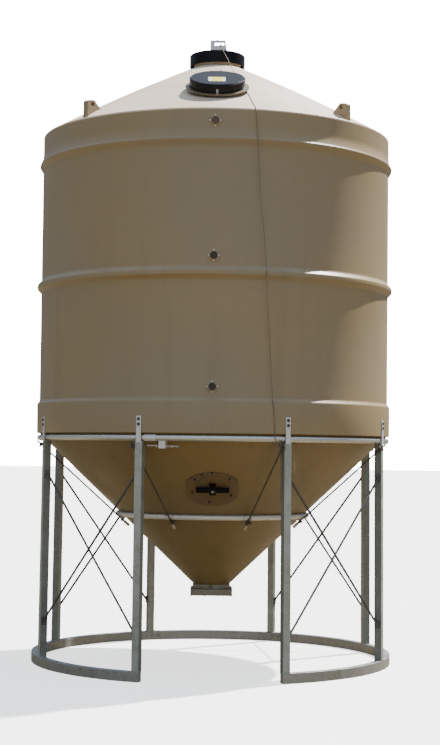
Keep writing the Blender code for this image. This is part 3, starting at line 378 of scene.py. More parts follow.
plugTan = makePlastic("plug tan", {
    "dark": (0.075, 0.048, 0.026), "faded": (0.120, 0.080, 0.046), "dusty": (0.14, 0.11, 0.07),
    "dust": 0.2, "gloss": (0.40, 0.55),
})
labelWhite = makePlastic("label white", {
    "dark": (0.62, 0.61, 0.57), "faded": (0.72, 0.71, 0.67), "dusty": (0.45, 0.42, 0.36),
    "dust": 0.3, "gloss": (0.35, 0.50),
})
labelYellow = makePlastic("label yellow", {
    "dark": (0.72, 0.58, 0.035), "faded": (0.78, 0.66, 0.09), "dusty": (0.55, 0.48, 0.20),
    "dust": 0.25, "gloss": (0.35, 0.50),
})
screwBright = makeZinc("bright screws", {
    "dark": (0.60, 0.58, 0.54), "light": (0.75, 0.73, 0.70), "dull": (0.62, 0.60, 0.56),
    "spangle": 300.0, "stain": 0.10, "gloss": (0.25, 0.35), "metallic": 0.5,
})
ropeFibre = makeFibre("rope fibre", {
    "dark": (0.15, 0.118, 0.080), "light": (0.31, 0.26, 0.185), "gloss": (0.75, 0.95),
})
print("finishes made")


# Mesh helpers
def addPiece(name, mesh, body, node=None):
    # node is the solid that the piece stands for
    piece = linkObject(name, mesh)
    if body:
        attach(piece, body)
    if node:
        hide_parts(node)
    return piece


def linkPiece(name, mesh, material, body, sharp=38.0, node=None):
    mesh.materials.clear()
    mesh.materials.append(material)
    mesh.shade_smooth()
    mesh.set_sharp_from_angle(angle=math.radians(sharp))
    return addPiece(name, mesh, body, node)


def bakeModifiers(mesh, addModifiers):
    # a mesh with these modifiers worked into it
    helper = linkObject("helper", mesh)
    addModifiers(helper)
    bpy.context.view_layer.update()
    done = bpy.data.meshes.new_from_object(helper.evaluated_get(bpy.context.evaluated_depsgraph_get()))
    bpy.data.objects.remove(helper, do_unlink=True)
    return done


def toMesh(bm, name):
    mesh = bpy.data.meshes.new(name)
    bm.to_mesh(mesh)
    bm.free()
    return mesh


def closeMesh(bm, name):
    bmesh.ops.remove_doubles(bm, verts=bm.verts, dist=0.00001)
    bmesh.ops.dissolve_degenerate(bm, edges=bm.edges, dist=0.000005)
    bmesh.ops.recalc_face_normals(bm, faces=bm.faces)
    return toMesh(bm, name)


def softenOutline(corners, steps=4, share=0.45):
    # corners are (across, up, how far back from the corner its curve starts)
    outline = []
    for index, (x, z, ease) in enumerate(corners):
        corner = Vector((x, z))
        if ease <= 0.0:
            outline.append(corner)
            continue
        before = Vector(corners[index - 1][:2]) - corner
        after = Vector(corners[(index + 1) % len(corners)][:2]) - corner
        start = corner + before.normalized() * min(ease, share * before.length)
        end = corner + after.normalized() * min(ease, share * after.length)
        for step in range(steps + 1):
            t = step / steps
            outline.append(start * (1 - t) ** 2 + corner * 2 * t * (1 - t) + end * t * t)
    return [(point.x, point.y) for point in outline]


def spinOutline(outline, sides, name):
    bm = bmesh.new()
    rings = []
    for index in range(sides):
        angle = 2 * math.pi * index / sides
        rings.append([bm.verts.new((r * math.cos(angle), r * math.sin(angle), z)) for r, z in outline])
    for ring, following in zip(rings, rings[1:] + rings[:1]):
        for j in range(len(outline)):
            k = (j + 1) % len(outline)
            if outline[j][0] > 1e-6 or outline[k][0] > 1e-6:
                bm.faces.new((ring[j], ring[k], following[k], following[j]))
    return closeMesh(bm, name)


def mergeMeshes(meshes, name):
    bm = bmesh.new()
    for mesh in meshes:
        bm.from_mesh(mesh)
        bpy.data.meshes.remove(mesh)
    return toMesh(bm, name)


def skinMesh(rows, name):
    # a skin over rows of points, with a face over each end
    bm = bmesh.new()
    rows = [[bm.verts.new(point) for point in row] for row in rows]
    for row, following in zip(rows, rows[1:]):
        for j in range(len(row)):
            k = (j + 1) % len(row)
            bm.faces.new((row[j], row[k], following[k], following[j]))
    bm.faces.new(rows[0])
    bm.faces.new(rows[-1])
    return closeMesh(bm, name)


def plateMesh(outline, low, high, matrix, ease=0.0, bend=0.6):
    # a flat outline in the matrix's own x and y, given a thickness along its z
    bm = bmesh.new()
    face = bm.faces.new([bm.verts.new((x, y, low)) for x, y in outline])
    grown = bmesh.ops.extrude_face_region(bm, geom=[face])
    moved = [item for item in grown["geom"] if isinstance(item, bmesh.types.BMVert)]
    bmesh.ops.translate(bm, vec=(0.0, 0.0, high - low), verts=moved)
    if ease > 0.0:
        edges = [edge for edge in bm.edges if edge.calc_face_angle(0.0) > bend]
        bmesh.ops.bevel(bm, geom=edges, offset=ease, segments=2, affect="EDGES", clamp_overlap=True)
    bmesh.ops.transform(bm, matrix=matrix, verts=bm.verts)
    return closeMesh(bm, "plate")


def boxOutline(x0, x1, y0, y1):
    return [(x0, y0), (x1, y0), (x1, y1), (x0, y1)]


def roundedBox(x, y, width, depth, ease):
    corners = boxOutline(x - width / 2, x + width / 2, y - depth / 2, y + depth / 2)
    return softenOutline([(*corner, ease) for corner in corners])


def circleOf(sides, radius):
    turns = [2 * math.pi * step / sides for step in range(sides)]
    return [(radius * math.cos(turn), radius * math.sin(turn)) for turn in turns]


def aroundAxis(azimuth):
    # azimuth in degrees, from the front towards +X
    return Matrix.Rotation(math.radians(azimuth), 4, "Z")


# Smooth mouldings and tubes that stand for the faceted solids
facets = 64                     # sides of the solids' wall
flats = math.cos(math.pi / facets)      # how near the axis the middle of a side is, for a radius of 1
gap = 0.0003                    # left between pieces that touch
tank = {
    "sides": 192,
    "round": 0.99885,           # a smooth circle that passes through the solids' flats
    "wall": 0.012,
    "radius": 1.484,
    "skirt": (1.503, 1.905, 1.5045, 2.152),     # radius and height of its foot, then of its top
    "skirtWall": 0.018,
    "skirtStep": 0.025,
    "ribs": ((3.135, 1.518, 0.118), (4.175, 1.511, 0.112)),     # the solids' height, radius and width
    "ribCorners": (((0.0, 3.091, 0.014), (0.034, 3.126, 0.005), (0.034, 3.156, 0.006), (0.0, 3.192, 0.014)),
                   ((0.0, 4.126, 0.014), (0.027, 4.169, 0.007), (0.027, 4.180, 0.003), (0.017, 4.194, 0.004),
                    (0.006, 4.228, 0.030), (0.0, 4.262, 0.020))),
    "eave": 4.405,
}
cone = {
    "radius": 1.40, "height": 4.4625, "slope": 0.5606, "dome": 0.0422, "wall": 0.0132,
    "reach": (1.455, 0.2025, 0.1925),           # where the slope starts, and the neck's two sides
    "bends": 14,
    "lip": (0.002, 0.003),                      # how far the eave stands up, and its easing
}
hopper = {"low": (0.155, 0.645), "spread": 1.0528, "lap": 1.960, "bore": 0.139}
hopperTilt = math.atan(1.0 / hopper["spread"])
hatch = {"reach": 1.04, "bore": 0.193, "cut": 0.15, "sides": 64}
rings = {"top": (1.477, 1.867, 0.02415), "lower": (0.8055, 1.233, 0.0212), "sides": 16}


def roofHeight(radius):
    inward = cone["radius"] - radius
    return cone["height"] + cone["slope"] * inward - cone["dome"] * inward * inward


def roofAngle(radius):
    return math.atan(cone["slope"] - 2 * cone["dome"] * (cone["radius"] - radius))


def wallOutline():
    low, lowZ, high, highZ = tank["skirt"]
    radius, wall, step = tank["radius"], tank["wall"], tank["skirtStep"]
    outer = [(low, lowZ, 0.004), (high, highZ, 0.007), (radius, highZ + step, 0.009)]
    inner = [(radius - wall, tank["eave"], 0.0)]
    for corners in tank["ribCorners"]:
        outer.extend((radius + out, height, ease) for out, height, ease in corners)
    for corners in reversed(tank["ribCorners"]):
        inner.extend((radius + out - wall, height, ease) for out, height, ease in reversed(corners))
    outer.append((radius, tank["eave"], 0.0))
    inside = low - tank["skirtWall"]
    inner.extend([(radius - wall, highZ, 0.008), (inside, highZ - step, 0.008), (inside, lowZ, 0.002)])
    return outer + inner


def spinTank(outline, name):
    outline = [(x * tank["round"], z) for x, z in softenOutline(outline)]
    return spinOutline(outline, tank["sides"], name)


def hatchFrame():
    # the roof hatch's own frame: z square to the roof, y uphill
    centre = Vector((0.0, -hatch["reach"], roofHeight(hatch["reach"])))
    return Matrix.Translation(centre) @ Matrix.Rotation(roofAngle(hatch["reach"]), 4, "X")


def makeTank():
    wall = spinTank(wallOutline(), "tank wall")
    linkPiece("tank_wall_moulding", wall, tankPoly, "silo", node="tank_wall")
    radius, eave = tank["radius"], tank["eave"] + gap
    far, near, bore = cone["reach"]
    steps = [far - (far - near) * index / cone["bends"] for index in range(cone["bends"] + 1)]
    lip, ease = cone["lip"]
    outline = [(radius, eave, 0.0), (radius, roofHeight(radius) + lip, ease)]
    outline.extend((r, roofHeight(r), 0.0) for r in steps)
    outline.extend((r, roofHeight(r) - cone["wall"], 0.0) for r in reversed(steps[:-1] + [bore]))
    outline.append((radius - tank["wall"], eave, 0.0))
    roof = spinTank(outline, "tank roof")
    reach, deep = hatch["bore"], hatch["cut"]
    mouth = spinOutline([(0.0, -deep), (reach, -deep), (reach, deep), (0.0, deep)], hatch["sides"], "mouth")
    mouth.transform(hatchFrame())
    cutter = linkObject("mouth", mouth)

    def cutMouth(helper):
        cut = helper.modifiers.new("mouth", "BOOLEAN")
        cut.operation = "DIFFERENCE"
        cut.solver = "EXACT"
        cut.object = cutter

    roof = bakeModifiers(roof, cutMouth)
    bpy.data.objects.remove(cutter, do_unlink=True)
    linkPiece("tank_roof_moulding", roof, roofPolyPaintedLight, "silo", node="tank_roof")


def makeHopper():
    radius, height = hopper["low"]
    spread, wall = hopper["spread"], tank["wall"]
    outer = tank["skirt"][0] - tank["skirtWall"] - gap
    thick = wall / math.cos(math.atan(spread))

    def heightAt(reach):
        return height + (reach - radius) / spread

    outline = [(radius, height, 0.002), (outer, heightAt(outer), 0.012), (outer, hopper["lap"], 0.002),
               (outer - wall, hopper["lap"], 0.002), (outer - wall, heightAt(outer - wall) + thick, 0.012),
               (hopper["bore"], heightAt(hopper["bore"]) + thick, 0.004), (hopper["bore"], height, 0.0)]
    mesh = spinTank(outline, "hopper")
    linkPiece("hopper_moulding", mesh, hopperPolyPaintedShade, "silo", node="hopper_cone")


def makeTube(name, node, values, material):
    reach, height, tube = values
    corners = [(reach * tank["round"] + x, height + z) for x, z in circleOf(rings["sides"], tube)]
    mesh = spinOutline(corners, tank["sides"], name)
    linkPiece(name, mesh, material, "silo", node=node)


makeTank()
makeHopper()
makeTube("top_ring_tube", "top_ring", rings["top"], brightZinc)
makeTube("hopper_ring_tube", "hopper_ring", rings["lower"], paintedLightZinc)
print("mouldings and tubes made")


# Rigid solids with their edges eased
def outward(azimuth):
    return Vector((math.sin(math.radians(azimuth)), -math.cos(math.radians(azimuth)), 0.0))


def tangent(azimuth):
    return Vector((math.cos(math.radians(azimuth)), math.sin(math.radians(azimuth)), 0.0))


def ringPoint(azimuth, reach, height=0.0, along=0.0):
    # a point this far out from the axis, then this far along the ring
    return outward(azimuth) * reach + tangent(azimuth) * along + Vector((0.0, 0.0, height))


easing = {
    "angle": 32.0,              # edges sharper than this are eased
    "strapFrom": 1.86,          # a leg's strap starts here
    "square": 0.8,              # a face that is this square to the bay is a side, and gets the painted shade
    "braceSwell": 0.002,        # thin rods lose their edges against a pale floor
}


def legTurn(index):
    low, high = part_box("leg_" + str(index))
    return math.degrees(math.atan2(low[0] + high[0], -low[1] - high[1]))


def legFace(face, azimuth):
    # 0 is the front and back, 1 the strap, 2 the faces towards the bays, which get the painted shade
    if face.center.z > easing["strapFrom"]:
        return 1
    return 2 if abs(face.normal.dot(tangent(azimuth))) > easing["square"] else 0


def dressNode(node, ease, material, others=(), azimuth=0.0, swell=0.0):
    # others are a leg's finishes for its strap and the painted shade of its sides, swell moves a rod's
    # surface outwards
    body = nodes[node]["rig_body"]
    bm = bmesh.new()
    bm.from_mesh(nodes[node].data)
    bmesh.ops.remove_doubles(bm, verts=bm.verts, dist=0.00001)
    flat = [edge for edge in bm.edges if edge.calc_face_angle(1.0) < 0.002]
    bmesh.ops.dissolve_edges(bm, edges=flat, use_verts=True)
    if swell:
        bm.normal_update()
        for vert in bm.verts:
            vert.co += swell * vert.normal
    mesh = toMesh(bm, node)

    def easeEdges(helper):
        bevel = helper.modifiers.new("ease", "BEVEL")
        bevel.width = ease
        bevel.segments = 2
        bevel.limit_method = "ANGLE"
        bevel.angle_limit = math.radians(easing["angle"])
        bevel.use_clamp_overlap = True
        weighted = helper.modifiers.new("even shading", "WEIGHTED_NORMAL")
        weighted.keep_sharp = True

    mesh = bakeModifiers(mesh, easeEdges)
    mesh.materials.clear()
    mesh.materials.append(material)
    if others:
        for other in others:
            mesh.materials.append(other)
        for face in mesh.polygons:
            face.material_index = legFace(face, azimuth)
    addPiece(node + "_dressed", mesh, body, node)


easedNodes = {
    "fill_neck": (0.003, roofPolyPaintedLight), "fill_lid": (0.004, blackPlastic), "roof_hatch_ring": (0.003, hatchRingPaintedShade),
    "roof_hatch_lid": (0.004, blackPlastic), "lid_bracket": (0.0012, brightZinc),
    "fill_lid_hinge": (0.0010, legZinc), "roof_hatch_hinge": (0.0008, legZinc),
    "roof_hatch_clip": (0.0008, legZinc), "clean_out_frame": (0.0015, doorPoly),
    "clean_out_door": (0.0012, doorPoly), "clean_out_handle": (0.0030, blackPlastic),
    "outlet_collar": (0.0015, hopperPolyPaintedShade), "outlet_gate_frame": (0.0025, gatePlate),
    "outlet_gate_blade": (0.0010, legZinc), "base_ring": (0.0040, baseZinc),
    "ring_joint_rod": (0.0010, screwBright),
}
for index in range(1, 9):
    easedNodes["leg_" + str(index)] = (0.0022, legZinc, (strapZinc, paintedShadeZinc), legTurn(index))
    easedNodes["hopper_tie_rod_" + str(index)] = (0.0008, rodSteelRustAndShade)
    easedNodes["brace_rod_" + str(index)] = (0.0008, braceSteel, (), 0.0, easing["braceSwell"])
for index in range(1, 5):
    easedNodes["lifting_lug_" + str(index)] = (0.0040, tankPoly)
for node, settings in easedNodes.items():
    dressNode(node, *settings)
print("edges eased on " + str(len(easedNodes)) + " solids")


# Pull rope, with the solids' own route
rope = {
    "radius": 0.003,
    "twist": 0.024,             # length of one turn of its strands
    "step": 0.004,
    "strands": (3, 0.50, 0.54, 8),      # their number, their spacing and size in rope radii, and their sides
    "points": 40,                       # along the lead
    "lead": ((0.031, -0.0505, 5.269), (0.034, -0.115, 5.243), (0.038, -0.180, 5.2165),
             (0.0415, -0.229, 5.1965), (0.0445, -0.243, 5.187), (0.0715, -0.350, 5.106),
             (0.1095, -0.500, 4.993), (0.160, -0.700, 4.842)),
    "roof": ((0.1625, 0.720), (0.248, 1.122), (0.297, 1.428)),
    "wall": ((0.302, 4.412), (0.318, 4.194), (0.338, 3.767), (0.370, 3.480), (0.393, 3.177), (0.418, 2.703),
             (0.452, 2.173), (0.464, 2.066), (0.475, 1.886), (0.486, 1.815), (0.510, 1.772), (0.532, 1.757)),
    "eave": ((-0.0021, 0.0205), (0.0058, 0.0076)),
    "wide": 0.060,              # between points on the roof and wall
    "close": 0.017,             # and on a rib, this near its middle
    "nearRib": 0.090,
    "ribCurve": (6, 0.75),      # how the solids' ribs bulge: steps, and the power of the sine
    "seam": 0.0006,             # between the lead's end and the rest
    "overEave": 0.006,
    "underEave": 0.008,
    "lift": 0.0038,
    "foot": 1.70,
    "rod": (1.500, 1.440, 22.5),     # the tie rod that the end is wound round, by the front right leg
    "knot": (4.5, 0.046, 0.0106),    # turns round the rod, their length along it and their radius
    "knotFrom": 0.018,
    "knotSteps": 96,
}
tie = {
    "step": 1.7, "top": (1.500, 1.800), "low": (0.806, 1.1945), "radius": 0.007,
    "threads": ((1.545, 1.472), (0.790, 0.742)), "sleeve": (0.784, 0.744, 0.0125),
}


def tiePoint(reach, azimuth):
    slope = (tie["top"][1] - tie["low"][1]) / (tie["top"][0] - tie["low"][0])
    height = tie["top"][1] + slope * (reach - tie["top"][0])
    point = Vector((-reach * math.tan(math.radians(tie["step"])), -reach, height))
    return aroundAxis(azimuth) @ point


def smoothRoute(points, count, fine=24):
    # a smooth curve through the points, cut into even steps
    points = [Vector(point) for point in points]
    ghost = [points[0] * 2 - points[1]] + points + [points[-1] * 2 - points[-2]]
    dense = []
    for index in range(len(points) - 1):
        a, b, c, d = ghost[index:index + 4]
        for step in range(fine):
            t = step / fine
            dense.append(0.5 * ((2 * b) + (c - a) * t + (2 * a - 5 * b + 4 * c - d) * t * t
                                + (3 * b - a - 3 * c + d) * t * t * t))
    dense.append(points[-1])
    return evenly(dense, count)


def evenly(dense, count):
    lengths = [0.0]
    for first, second in zip(dense, dense[1:]):
        lengths.append(lengths[-1] + (second - first).length)
    result = []
    cursor = 0
    for index in range(count):
        target = lengths[-1] * index / (count - 1)
        while cursor < len(dense) - 2 and lengths[cursor + 1] < target:
            cursor += 1
        span = max(lengths[cursor + 1] - lengths[cursor], 1e-9)
        result.append(dense[cursor].lerp(dense[cursor + 1], (target - lengths[cursor]) / span))
    return result


def between(points, value, key=1, result=0):
    points = sorted(points, key=lambda point: point[key])
    if value <= points[0][key]:
        return points[0][result]
    for low, high in zip(points, points[1:]):
        if value <= high[key]:
            share = (value - low[key]) / (high[key] - low[key])
            return low[result] + (high[result] - low[result]) * share
    return points[-1][result]


def facetCosine(x, y):
    step = 2 * math.pi / facets
    azimuth = math.atan2(x, -y)
    return math.cos(azimuth - round(azimuth / step) * step)


def ropeReach(height):
    # straight from rib to rib, and over whatever stands proud of that line
    low, lowZ, high, highZ = tank["skirt"]
    reach, ringZ, tube = rings["top"]
    supports = [(reach + tube, rope["foot"]), (reach + tube, ringZ), (low, lowZ), (high, highZ)]
    supports.extend((radius, centre) for centre, radius, _ in tank["ribs"])
    supports.append((tank["radius"], tank["eave"] + rope["overEave"]))
    surface = [(low, lowZ), (high, highZ), (tank["radius"], highZ + tank["skirtStep"])]
    for centre, radius, tall in tank["ribs"]:
        steps, power = rope["ribCurve"]
        for index in range(steps + 1):
            angle = math.pi * index / steps
            out = (radius - tank["radius"]) * math.sin(angle) ** power if 0 < index < steps else 0.0
            surface.append((tank["radius"] + out, centre - 0.5 * tall * math.cos(angle)))
    return max(between(supports, height), between(surface, height))


def ropePoint(x, radius, height):
    y = -math.sqrt(radius * radius - x * x)
    reach = radius * flats / facetCosine(x, y)
    return Vector((x, -math.sqrt(reach * reach - x * x), height))


def ropeRoute():
    start = Vector(rope["lead"][-1])
    route = []
    nearest, farthest = rope["roof"][0][1], rope["roof"][-1][1]
    steps = math.ceil((farthest - nearest) / rope["wide"])
    for index in range(steps + 1):
        ahead = nearest + (farthest - nearest) * index / steps
        x = between(rope["roof"], ahead)
        corner = math.hypot(x, ahead) * facetCosine(x, -ahead) / flats
        route.append(Vector((x, -ahead, roofHeight(corner) + rope["lift"] / math.cos(roofAngle(corner)))))
    route[0] = start + (route[1] - start).normalized() * rope["seam"]
    for out, up in rope["eave"]:
        route.append(ropePoint(rope["roof"][-1][0], tank["radius"] + out, tank["eave"] + up))
    height = tank["eave"] - rope["underEave"]
    while height > rope["wall"][-1][1]:
        route.append(ropePoint(between(rope["wall"], height), ropeReach(height) + rope["lift"], height))
        onRib = any(abs(height - rib[0]) < rope["nearRib"] for rib in tank["ribs"])
        height -= rope["close"] if onRib else rope["wide"]
    return route


# Geometry trees
def newGeometryTree(name, sizes, counts=()):
    tree = bpy.data.node_groups.new(name, "GeometryNodeTree")
    kinds = [("Geometry", "Geometry")] + [(size, "Float") for size in sizes]
    kinds += [(count, "Int") for count in counts] + [("Finish", "Material")]
    for socketName, kind in kinds:
        tree.interface.new_socket(socketName, in_out="INPUT", socket_type="NodeSocket" + kind)
    tree.interface.new_socket("Geometry", in_out="OUTPUT", socket_type="NodeSocketGeometry")
    given = tree.nodes.new("NodeGroupInput").outputs
    return tree, given, tree.nodes.new("NodeGroupOutput").inputs["Geometry"]


def endTree(tree, given, out, geometry):
    real = addNode(tree, "GeometryNodeRealizeInstances", {"Geometry": geometry}).outputs[0]
    values = {"Geometry": real, "Material": given["Finish"]}
    tree.links.new(addNode(tree, "GeometryNodeSetMaterial", values).outputs[0], out)
    return tree


def spreadOver(tree, points, instance, **values):
    values.update({"Points": points, "Instance": instance})
    return addNode(tree, "GeometryNodeInstanceOnPoints", values).outputs[0]


def evenLine(tree, given, step):
    # the start mesh as a curve with points this far apart
    line = addNode(tree, "GeometryNodeMeshToCurve", {"Mesh": given["Geometry"]}).outputs[0]
    values = {"Curve": line, "Length": step}
    return addNode(tree, "GeometryNodeResampleCurve", values, mode="LENGTH").outputs[0]


def growPiece(name, start, tree, values, material, body, sharp=38.0):
    # runs a geometry tree on the start mesh and keeps the plain result
    values = {**values, "Finish": material}

    def grow(helper):
        modifier = helper.modifiers.new("grow", "NODES")
        modifier.node_group = tree
        for item in tree.interface.items_tree:
            if item.item_type == "SOCKET" and item.in_out == "INPUT" and item.name in values:
                modifier[item.identifier] = values[item.name]

    return linkPiece(name, bakeModifiers(start, grow), material, body, sharp)


def makeTwistTree():
    # three strands laid round each other along a line
    tree, given, out = newGeometryTree("twisted rope", ("Rope Radius", "Turn Length", "Step"))
    line = evenLine(tree, given, given["Step"])
    along = addNode(tree, "GeometryNodeSplineParameter").outputs["Length"]
    angle = maths(tree, "MULTIPLY", maths(tree, "DIVIDE", along, given["Turn Length"]), 2 * math.pi)
    tilted = addNode(tree, "GeometryNodeSetCurveTilt", {"Curve": line, "Tilt": angle}).outputs[0]
    count, spacing, size, sides = rope["strands"]
    values = {"Vertices": count, "Radius": maths(tree, "MULTIPLY", given["Rope Radius"], spacing)}
    centres = addNode(tree, "GeometryNodeMeshCircle", values).outputs[0]
    values = {"Resolution": sides, "Radius": maths(tree, "MULTIPLY", given["Rope Radius"], size)}
    strand = addNode(tree, "GeometryNodeCurvePrimitiveCircle", values).outputs[0]
    spread = spreadOver(tree, centres, strand)
    section = addNode(tree, "GeometryNodeRealizeInstances", {"Geometry": spread}).outputs[0]
    values = {"Curve": tilted, "Profile Curve": section, "Fill Caps": True}
    return endTree(tree, given, out, addNode(tree, "GeometryNodeCurveToMesh", values).outputs[0])


boltSizes = ("Head Radius", "Head Height", "Washer Radius", "Washer Height", "Stud Radius", "Stud Height")
boltKinds = {
    "strap": (0.0095, 0.0055, 0.0130, 0.0020, 0.0050, 0.0015, 6),
    "plate": (0.0090, 0.0060, 0.0115, 0.0015, 0.0050, 0.0040, 6),
    "cleanOut": (0.0085, 0.0060, 0.0110, 0.0015, 0.0045, 0.0060, 6),
    "small": (0.0050, 0.0032, 0.0065, 0.0008, 0.0025, 0.0015, 6),
    "pan": (0.0046, 0.0022, 0.0056, 0.0007, 0.0022, 0.0004, 12),
}


def makeBoltTree():
    # hexagon heads with washers and stud ends, set on points
    tree, given, out = newGeometryTree("bolts", boltSizes, ("Corners",))

    def cylinder(sides, radius, low, depth):
        values = {"Vertices": sides, "Radius": radius, "Depth": depth}
        shape = addNode(tree, "GeometryNodeMeshCylinder", values).outputs[0]
        height = maths(tree, "ADD", low, maths(tree, "MULTIPLY", depth, 0.5))
        place = addNode(tree, "ShaderNodeCombineXYZ", {"Z": height}).outputs[0]
        return addNode(tree, "GeometryNodeTransform", {"Geometry": shape, "Translation": place}).outputs[0]

    washer = cylinder(16, given["Washer Radius"], 0.0, given["Washer Height"])
    head = cylinder(given["Corners"], given["Head Radius"], given["Washer Height"], given["Head Height"])
    seat = maths(tree, "ADD", given["Washer Height"], given["Head Height"])
    stud = cylinder(10, given["Stud Radius"], seat, given["Stud Height"])
    joined = addNode(tree, "GeometryNodeJoinGeometry")
    for shape in (washer, head, stud):
        tree.links.new(shape, joined.inputs[0])
    values = {"Name": "aim"}
    aim = addNode(tree, "GeometryNodeInputNamedAttribute", values, data_type="FLOAT_VECTOR").outputs[0]
    turn = addNode(tree, "FunctionNodeAlignRotationToVector", {"Vector": aim}, axis="Z").outputs[0]
    return endTree(tree, given, out, spreadOver(tree, given["Geometry"], joined.outputs[0], Rotation=turn))


def makeBeadTree():
    # short runs of overlapping beads along lines
    tree, given, out = newGeometryTree("weld beads", ("Bead Radius", "Spacing"), ("Seed",))
    line = evenLine(tree, given, given["Spacing"])
    values = {"Radius": given["Bead Radius"], "Subdivisions": 2}
    bead = addNode(tree, "GeometryNodeMeshIcoSphere", values).outputs[0]
    values = {2: 0.8, 3: 1.2, "Seed": given["Seed"]}
    size = addNode(tree, "FunctionNodeRandomValue", values, data_type="FLOAT").outputs[1]
    return endTree(tree, given, out, spreadOver(tree, line, bead, Scale=size))


twistTree, boltTree, beadTree = makeTwistTree(), makeBoltTree(), makeBeadTree()


def linesMesh(lines, name):
    points, edges = [], []
    for line in lines:
        first = len(points)
        points.extend(tuple(point) for point in line)
        edges.extend((first + index, first + index + 1) for index in range(len(line) - 1))
    mesh = bpy.data.meshes.new(name)
    mesh.from_pydata(points, edges, [])
    return mesh


def twistedRope(name, points, body):
    values = {"Rope Radius": rope["radius"], "Turn Length": rope["twist"], "Step": rope["step"]}
    return growPiece(name, linesMesh([points], "line"), twistTree, values, ropeFibre, body, 60.0)


def routeLength(points):
    return sum((second - first).length for first, second in zip(points, points[1:]))


def knotTurns():
    # its end is wound round the tie rod
    top, low, azimuth = rope["rod"]
    rodTop = tiePoint(top, azimuth)
    axis = (tiePoint(low, azimuth) - rodTop).normalized()
    side = axis.cross(Vector((0.0, 0.0, 1.0))).normalized()
    other = axis.cross(side)
    count, length, reach = rope["knot"]
    turns = []
    for step in range(rope["knotSteps"] + 1):
        share = step / rope["knotSteps"]
        angle = -0.5 * math.pi + count * 2 * math.pi * share
        centre = rodTop + axis * (rope["knotFrom"] + length * share)
        turns.append(centre + (side * math.cos(angle) + other * math.sin(angle)) * reach)
    return turns


def makeRopes():
    lead = smoothRoute(rope["lead"], rope["points"])
    leadPiece = twistedRope("lid_lead_rope", lead, None)
    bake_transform(leadPiece)
    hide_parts("rope_lead")
    route = ropeRoute()
    longPiece = twistedRope("long_pull_rope", route, "silo")
    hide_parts("pull_rope")
    turns = knotTurns()
    knot = smoothRoute([route[-1], (route[-1] + turns[0]) / 2, turns[0]], 8)[:-1] + turns
    knotPiece = twistedRope("rope_knot", knot, "silo")
    lengths = [str(round(routeLength(points), 3)) for points in (lead, route)]
    print("rope: lead " + lengths[0] + " m, rest " + lengths[1] + " m")


makeRopes()


# Bolts and welds of the stand
legAzimuths = [22.5 + 45.0 * index for index in range(8)]
stand = {
    "strapFace": 1.5083, "strapBolts": (2.010, 1.971),
    "base": (1.458, 1.518, 0.080),              # inner and outer radius, and height
    "leg": 0.060, "legReach": 1.4862, "lean": 0.0110, "legHeight": 1.763,
}
braces = {
    "bays": (-135.0, -45.0, 45.0, 135.0), "half": 22.5, "heights": (0.375, 1.565), "tab": 0.0083,
    "boltUp": 0.021,
}
welds = {
    "radius": 0.0030, "spacing": 0.0042, "seed": 7, "clear": 0.0004, "proud": 0.0008,
    "foot": (-0.026, 0.028), "strap": (1.5035, 0.0206), "strapRun": (1.850, 1.884),
}


def legReach(height):
    # the legs lean out a little towards the ground
    return stand["legReach"] - stand["lean"] * (height - stand["base"][2]) / stand["legHeight"]


def placeFrame(origin, across, up):
    # a frame with x across, y up and z square to both
    across, up = Vector(across).normalized(), Vector(up).normalized()
    return Matrix.Translation(origin) @ Matrix((across, up, across.cross(up))).transposed().to_4x4()


def makeBolts(name, places, kind, material, body="silo"):
    # places are pairs: where the bolt sits and which way it points
    start = bpy.data.meshes.new(name)
    start.from_pydata([tuple(point) for point, _ in places], [], [])
    aim = start.attributes.new("aim", "FLOAT_VECTOR", "POINT")
    for item, (_, way) in zip(aim.data, places):
        item.vector = way
    values = dict(zip((*boltSizes, "Corners"), boltKinds[kind]))
    return growPiece(name, start, boltTree, values, material, body, 30.0)


def addSteel(name, meshes, material, sharp=30.0, body="silo"):
    linkPiece(name, mergeMeshes(meshes, name), material, body, sharp)


def makeStandBolts():
    places = []
    for azimuth in legAzimuths:
        for height in stand["strapBolts"]:
            places.append((ringPoint(azimuth, stand["strapFace"], height), outward(azimuth)))
    makeBolts("strap_bolts", places, "strap", boltPaintedShade)
    places = []
    for bay in braces["bays"]:
        for side in (-1, 1):
            azimuth = bay + side * braces["half"]
            along = -side * (0.5 * stand["leg"] + braces["tab"])
            for height in braces["heights"]:
                for up in (-braces["boltUp"], braces["boltUp"]):
                    face = ringPoint(azimuth, legReach(height), height + up, along)
                    places.append((face, tangent(azimuth) * -side))
    makeBolts("brace_bolts", places, "small", boltZinc)


def makeWelds():
    foot = stand["base"][2] + welds["clear"]
    edge = 0.5 * stand["leg"] + welds["proud"]
    strapAt, strapHalf = welds["strap"]
    lines = []
    for azimuth in legAzimuths:
        for side in (-1, 1):
            reach, along = legReach(foot), side * edge
            lines.append([ringPoint(azimuth, reach + out, foot, along) for out in welds["foot"]])
            along = side * strapHalf
            lines.append([ringPoint(azimuth, strapAt, height, along) for height in welds["strapRun"]])
    values = {"Bead Radius": welds["radius"], "Spacing": welds["spacing"], "Seed": welds["seed"]}
    mesh = linesMesh(lines, "welds")
    growPiece("stand_welds", mesh, beadTree, values, legZinc, "silo", 80.0)


makeStandBolts()
print("stand bolts set")
makeWelds()
print("welds laid")


# Threads, sleeves, clamps and nuts of the stand
thread = {"pitch": 0.0022, "tooth": 0.0007, "sunk": 0.0004, "sides": 8}


def facing(place, axis):
    # a frame at this place with its z along the axis
    return Matrix.Translation(place) @ axis.to_track_quat("Z", "Y").to_matrix().to_4x4()


